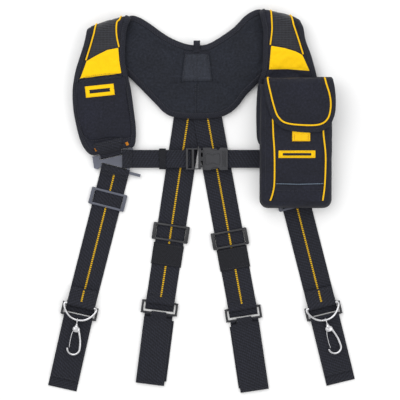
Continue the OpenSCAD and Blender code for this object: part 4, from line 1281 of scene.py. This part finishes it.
def pouch():
    """The pouch's back panel, body, pipings, lower pocket, pull tab and patch."""
    pouch_body()
    thin = 0.95
    pad = Cushion(pocket_outline(124, 216, 14, 11), half=thin, w=3.5,
                  place=lambda p, n: at_pouch(np.column_stack([p, 1.0 + np.broadcast_to(n, (len(p),))])))
    pad.height = lambda p: np.full(len(p), thin)
    part = pad.body(5.0, [])
    pad.tape(part, wide=4.5, m=1)
    part.build("pouch_back_cloth", [CLOTH2, BINDING], "front", ("pouch_back",), "shell_fabric")
    part = Part()
    for line in ([(-41, -60), (-40, -88), (-38, -120), (-38, -170), (-41, -190), (-45, -202)],
                 [(45, -60), (47, -88), (50.5, -120), (50.5, -150), (49, -180), (46, -202)]):
        q = resample(catmull(line, 8, False), 2.0, False)
        piping(part, pouch_front(q, 1.0), front_normal(q), 1.4,
               [[0.9, -0.9], [2.6, -1.1], [2.6, -0.7], [1.0, -0.2]])
    part.build("pouch_piping", [YELLOW_TAPE, BINDING], "front", ("pouch_pipings",), "yellow_fabric")
    part = Part()
    for x in (-53.5, 57.0):
        stitches_front(part, [(x, -10), (x * 1.005, -100), (x * 0.99, -190)], 1.2, 0.15, r=0.3)
    q = resample([(-36, -172.5), (5, -173.5), (47, -172.5)], 1.0, False)
    tube(part, pouch_front(q, 1.2), 0.75, sides=10, m=1, up=front_normal(q))
    sheet_on(part, [(-36.5, -173), (47.5, -173), (46, -190), (43.5, -204), (-41.5, -204), (-38.5, -190)],
             1.1, 3.0, m=2)
    stitches_front(part, [(-38, -184), (5, -185.5), (46.5, -184)], 1.2, 1.2, r=0.28)
    part.build("pouch_lower_pocket", [THREAD_K, GREYTAPE, CLOTH2], "front", ("pouch_hem",), "shell_fabric")
    part = Part()
    sheet_on(part, [(-7.5, -80), (24, -80), (24, -99), (-7.5, -99)], 2.4, 1.6)
    for x in (-3.6, 20.2):
        stitches_front(part, [(x, -86), (x, -98)], 0.8, 2.5, m=1, r=0.4, pitch=2.4, length=1.9)
    part.build("pull_tab_tape", [YELLOW_TAPE, THREAD_O], "front", ("pull_tab",), "yellow_fabric")
    part = Part()
    sheet_on(part, [(-31, -115), (33, -115), (33, -128), (-31, -128)], 1.2, 1.6)
    row = [(-28.5, -117), (30.5, -117), (30.5, -126), (-28.5, -126), (-28.5, -117)]
    stitches_front(part, row, 0.8, 1.3, m=1, r=0.32, pitch=2.6, length=1.9)
    sheet_on(part, [(-24, -119), (26, -119), (26, -124), (-24, -124)], 2.7, 1.4, m=3)
    part.build("pouch_patch", [YELLOW, THREAD_O, THREAD_K, BINDING], "front", ("pouch_badge",), "yellow_fabric")


def pocket_outline(w, l, r, over):
    """A rectangle with a square top, over above y = 0, and a round bottom at y = -l."""
    pts = [(w / 2, over), (-w / 2, over)]
    pts += [(-w / 2 + r - r * math.cos(a), -l + r - r * math.sin(a)) for a in np.linspace(0, math.pi / 2, 7)]
    pts += [(w / 2 - r + r * math.sin(a), -l + r - r * math.cos(a)) for a in np.linspace(0, math.pi / 2, 7)]
    return np.array(pts)


def sheet_on(part, poly, thick, step, m=0):
    """A piece of cloth lying on the pouch's front."""
    poly = np.asarray(poly, float)
    if sum(a[0] * b[1] - b[0] * a[1] for a, b in zip(poly, np.roll(poly, -1, 0))) < 0:
        poly = poly[::-1]
    pts, tris = skin(poly, step, [(inset(resample(poly, step), 0.8), True)])
    d = distance(pts, poly)
    c, up = pouch_front(pts), front_normal(pts)
    lift = thick * np.clip(d / 0.8, 0, 1) ** 0.5 - 0.2 * np.exp(-((d - 2.2) / 0.6) ** 2) - 0.1
    part.add(c + up * lift[:, None], tris, pts, m)


FLAP = [(56, 12), (53, 20), (50, 33), (-50, 33), (-54, 20), (-58, 12), (-59.5, -8), (-58, -28),
        (-53.5, -50), (-44, -71), (-26, -86), (8, -91.5), (34, -90.5), (51, -81), (60, -62), (62, -40),
        (60.5, -18), (57.5, -2)]


def flap():
    """The flap, bent over the pouch's mouth, with its tape and piping."""
    def place(p, n):
        p, n = np.asarray(p, float), np.broadcast_to(np.asarray(n, float), (len(p),))
        x, s = p[:, 0], p[:, 1]
        # the bend's radius, where it starts, and the height of the flat part
        r, yb, zf = 7.0, -7.5, 33.9
        crown = 1.6 * (1 - (x / 62) ** 2) * np.clip(1 - ((s + 42) / 52) ** 2, 0, 1)
        crown -= 0.9 * np.clip(np.abs(x) / 62, 0, 1) ** 4
        th = np.clip((s - yb) / r, 0, math.pi / 2)
        more = np.maximum(0, s - yb - r * math.pi / 2)
        m = n + np.where(s <= yb + 4, crown, 0)
        y = np.minimum(s, yb) + r * np.sin(th) + m * np.sin(th)
        z = zf - r * (1 - np.cos(th)) + m * np.cos(th) - more
        return at_pouch(np.column_stack([x + 5, y + 9, z]))
    inner = [(-53, 10), (-55, -1), (-50.7, -21.4), (-44.4, -46.4), (-37, -65.1), (-22, -76.4), (14.3, -80.1),
             (38, -77.6), (50, -66.4), (54, -46.4), (51.8, -26.4), (44.5, -2.6), (44, 10)]
    line = catmull(inner, 6, False)
    pad = Cushion(catmull(FLAP, 6), place, half=1.7, w=4.0, seams=[(line, False, 0.5, 1.6)], seed=31.0, hold=8)
    part = pad.body(3.2, [(line, False)])
    ob = part.build("flap_cloth", [CLOTH2])
    puff(ob, pad, pressure=2.0, cap=0.9)
    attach(ob, "flap")
    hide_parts("pouch_flap")
    part = Part()
    pad.tape(part, wide=7.5)
    pad.tape_stitches(part, wide=7.5)
    part.build("flap_tape", [BINDING, THREAD_K], "flap", (), "shell_fabric")
    part = Part()
    q = resample(line, 2.0, False)
    piping(part, pad.on(q, 0.95), pad.normal(q), 1.45, [[0.9, -0.9], [2.6, -1.0], [2.6, -0.55], [1.0, -0.2]])
    part.build("flap_edge_piping", [YELLOW_TAPE, BINDING], "flap", ("flap_piping",), "yellow_fabric")


# ---------------------------------------------------------------- carried-over mouldings
def moulded(node, mat, width, segments=3):
    """Gives a CAD node that stays its material and slightly rounded edges."""
    ob = bpy.data.objects[node]
    ob.data.materials.clear()
    ob.data.materials.append(mat)
    for p in ob.data.polygons:
        p.material_index = 0
    mod = ob.modifiers.new("moulded edge", "BEVEL")
    mod.width, mod.segments = width * MM, segments
    mod.limit_method, mod.angle_limit = "ANGLE", math.radians(30)
    mod.harden_normals = False


def buckle_details():
    """Ribs and a raised field on the housing's upper face, and thumb ridges beside its windows."""
    part = Part()

    def bar(x, half, r):
        q = resample([(x, CHEST_Y - half), (x, CHEST_Y + half)], 1.0, False)
        tube(part, at_z(q, 13.62), [r * 0.5] + [r] * (len(q) - 2) + [r * 0.5], sides=10, squash=0.8)
    for x in (37.0, 39.6, 42.2):
        bar(x, 14, 0.75)
    ring = catmull([(8, -9), (20, -7), (31, -9), (31, 9), (20, 7), (8, 9)], 6)
    q = resample(ring + np.array([0, CHEST_Y]), 1.0)
    tube(part, at_z(q, 13.6), 0.7, True, 10, squash=0.8)
    bar(4.2, 15, 0.7)
    part.build("buckle_ribs", BLACK, "front", (), "black_plastic")


yoke()
made = pads()
loops(made)
chest_straps()
pouch()
flap()
for name in ("strap_link_left", "strap_link_right"):
    moulded(name, GREY, 0.9)
moulded("buckle_female", BLACK, 1.2, 4)
buckle_details()
moulded("buckle_male", BLACK, 0.7)
moulded("buckle_latches", BLACK, 0.6)


# ---------------------------------------------------------------- floor, light and camera
def floor_material():
    m = Mat("floor", rough=0.9, spec=0.1)
    v = m.coords("Object")
    m.colour(m.ramp(m.noise(v, 3, 2), [(0.3, (0.93, 0.93, 0.93)), (0.7, (0.96, 0.96, 0.96))]))
    return m.mat


def stage():
    me = bpy.data.meshes.new("floor")
    me.from_pydata([(-3, -3, -0.0008), (3, -3, -0.0008), (3, 3, -0.0008), (-3, 3, -0.0008)], [], [[0, 1, 2, 3]])
    me.materials.append(floor_material())
    ob = bpy.data.objects.new("floor", me)
    bpy.context.scene.collection.objects.link(ob)


def area(name, at, size, power):
    """A soft light that points at the object's middle."""
    light = bpy.data.lights.new(name, "AREA")
    light.shape, light.size, light.size_y, light.energy = "RECTANGLE", size[0], size[1], power
    ob = bpy.data.objects.new(name, light)
    ob.location = at
    ob.rotation_mode = "QUATERNION"
    ob.rotation_quaternion = (-Vector(at)).to_track_quat("-Z", "Y")
    bpy.context.scene.collection.objects.link(ob)


# Strengths of the world and of the three soft lights.
WORLD, KEY, FILL, RIM = 0.76, 22, 9, 5


def lights():
    world = bpy.data.worlds.new("studio")
    bpy.context.scene.world = world
    world.use_nodes = True
    background = world.node_tree.nodes["Background"].inputs
    background["Color"].default_value, background["Strength"].default_value = (1, 1, 1, 1), WORLD
    area("key", (-0.8, 0.9, 2.1), (2.0, 2.0), KEY)
    area("fill", (1.3, -0.6, 1.7), (1.5, 1.5), FILL)
    area("rim", (0.2, 1.9, 0.7), (1.4, 0.5), RIM)


def camera():
    cam = bpy.data.cameras.new("camera")
    ob = bpy.data.objects.new("camera", cam)
    bpy.context.scene.collection.objects.link(ob)
    # the view is 0.7 m wide at the object's middle height, 10 mm above the floor
    far, wide, middle = 4.0, 0.700, 0.010
    cam.sensor_width, cam.lens = 36, 36 * (far - middle) / wide
    cam.clip_start, cam.clip_end = 0.1, 50
    ob.location = (-2.45 * MM, (4.4 - 2) * MM, far)
    bpy.context.scene.camera = ob


bpy.context.scene.view_settings.view_transform = "Standard"
stage()
lights()
camera()
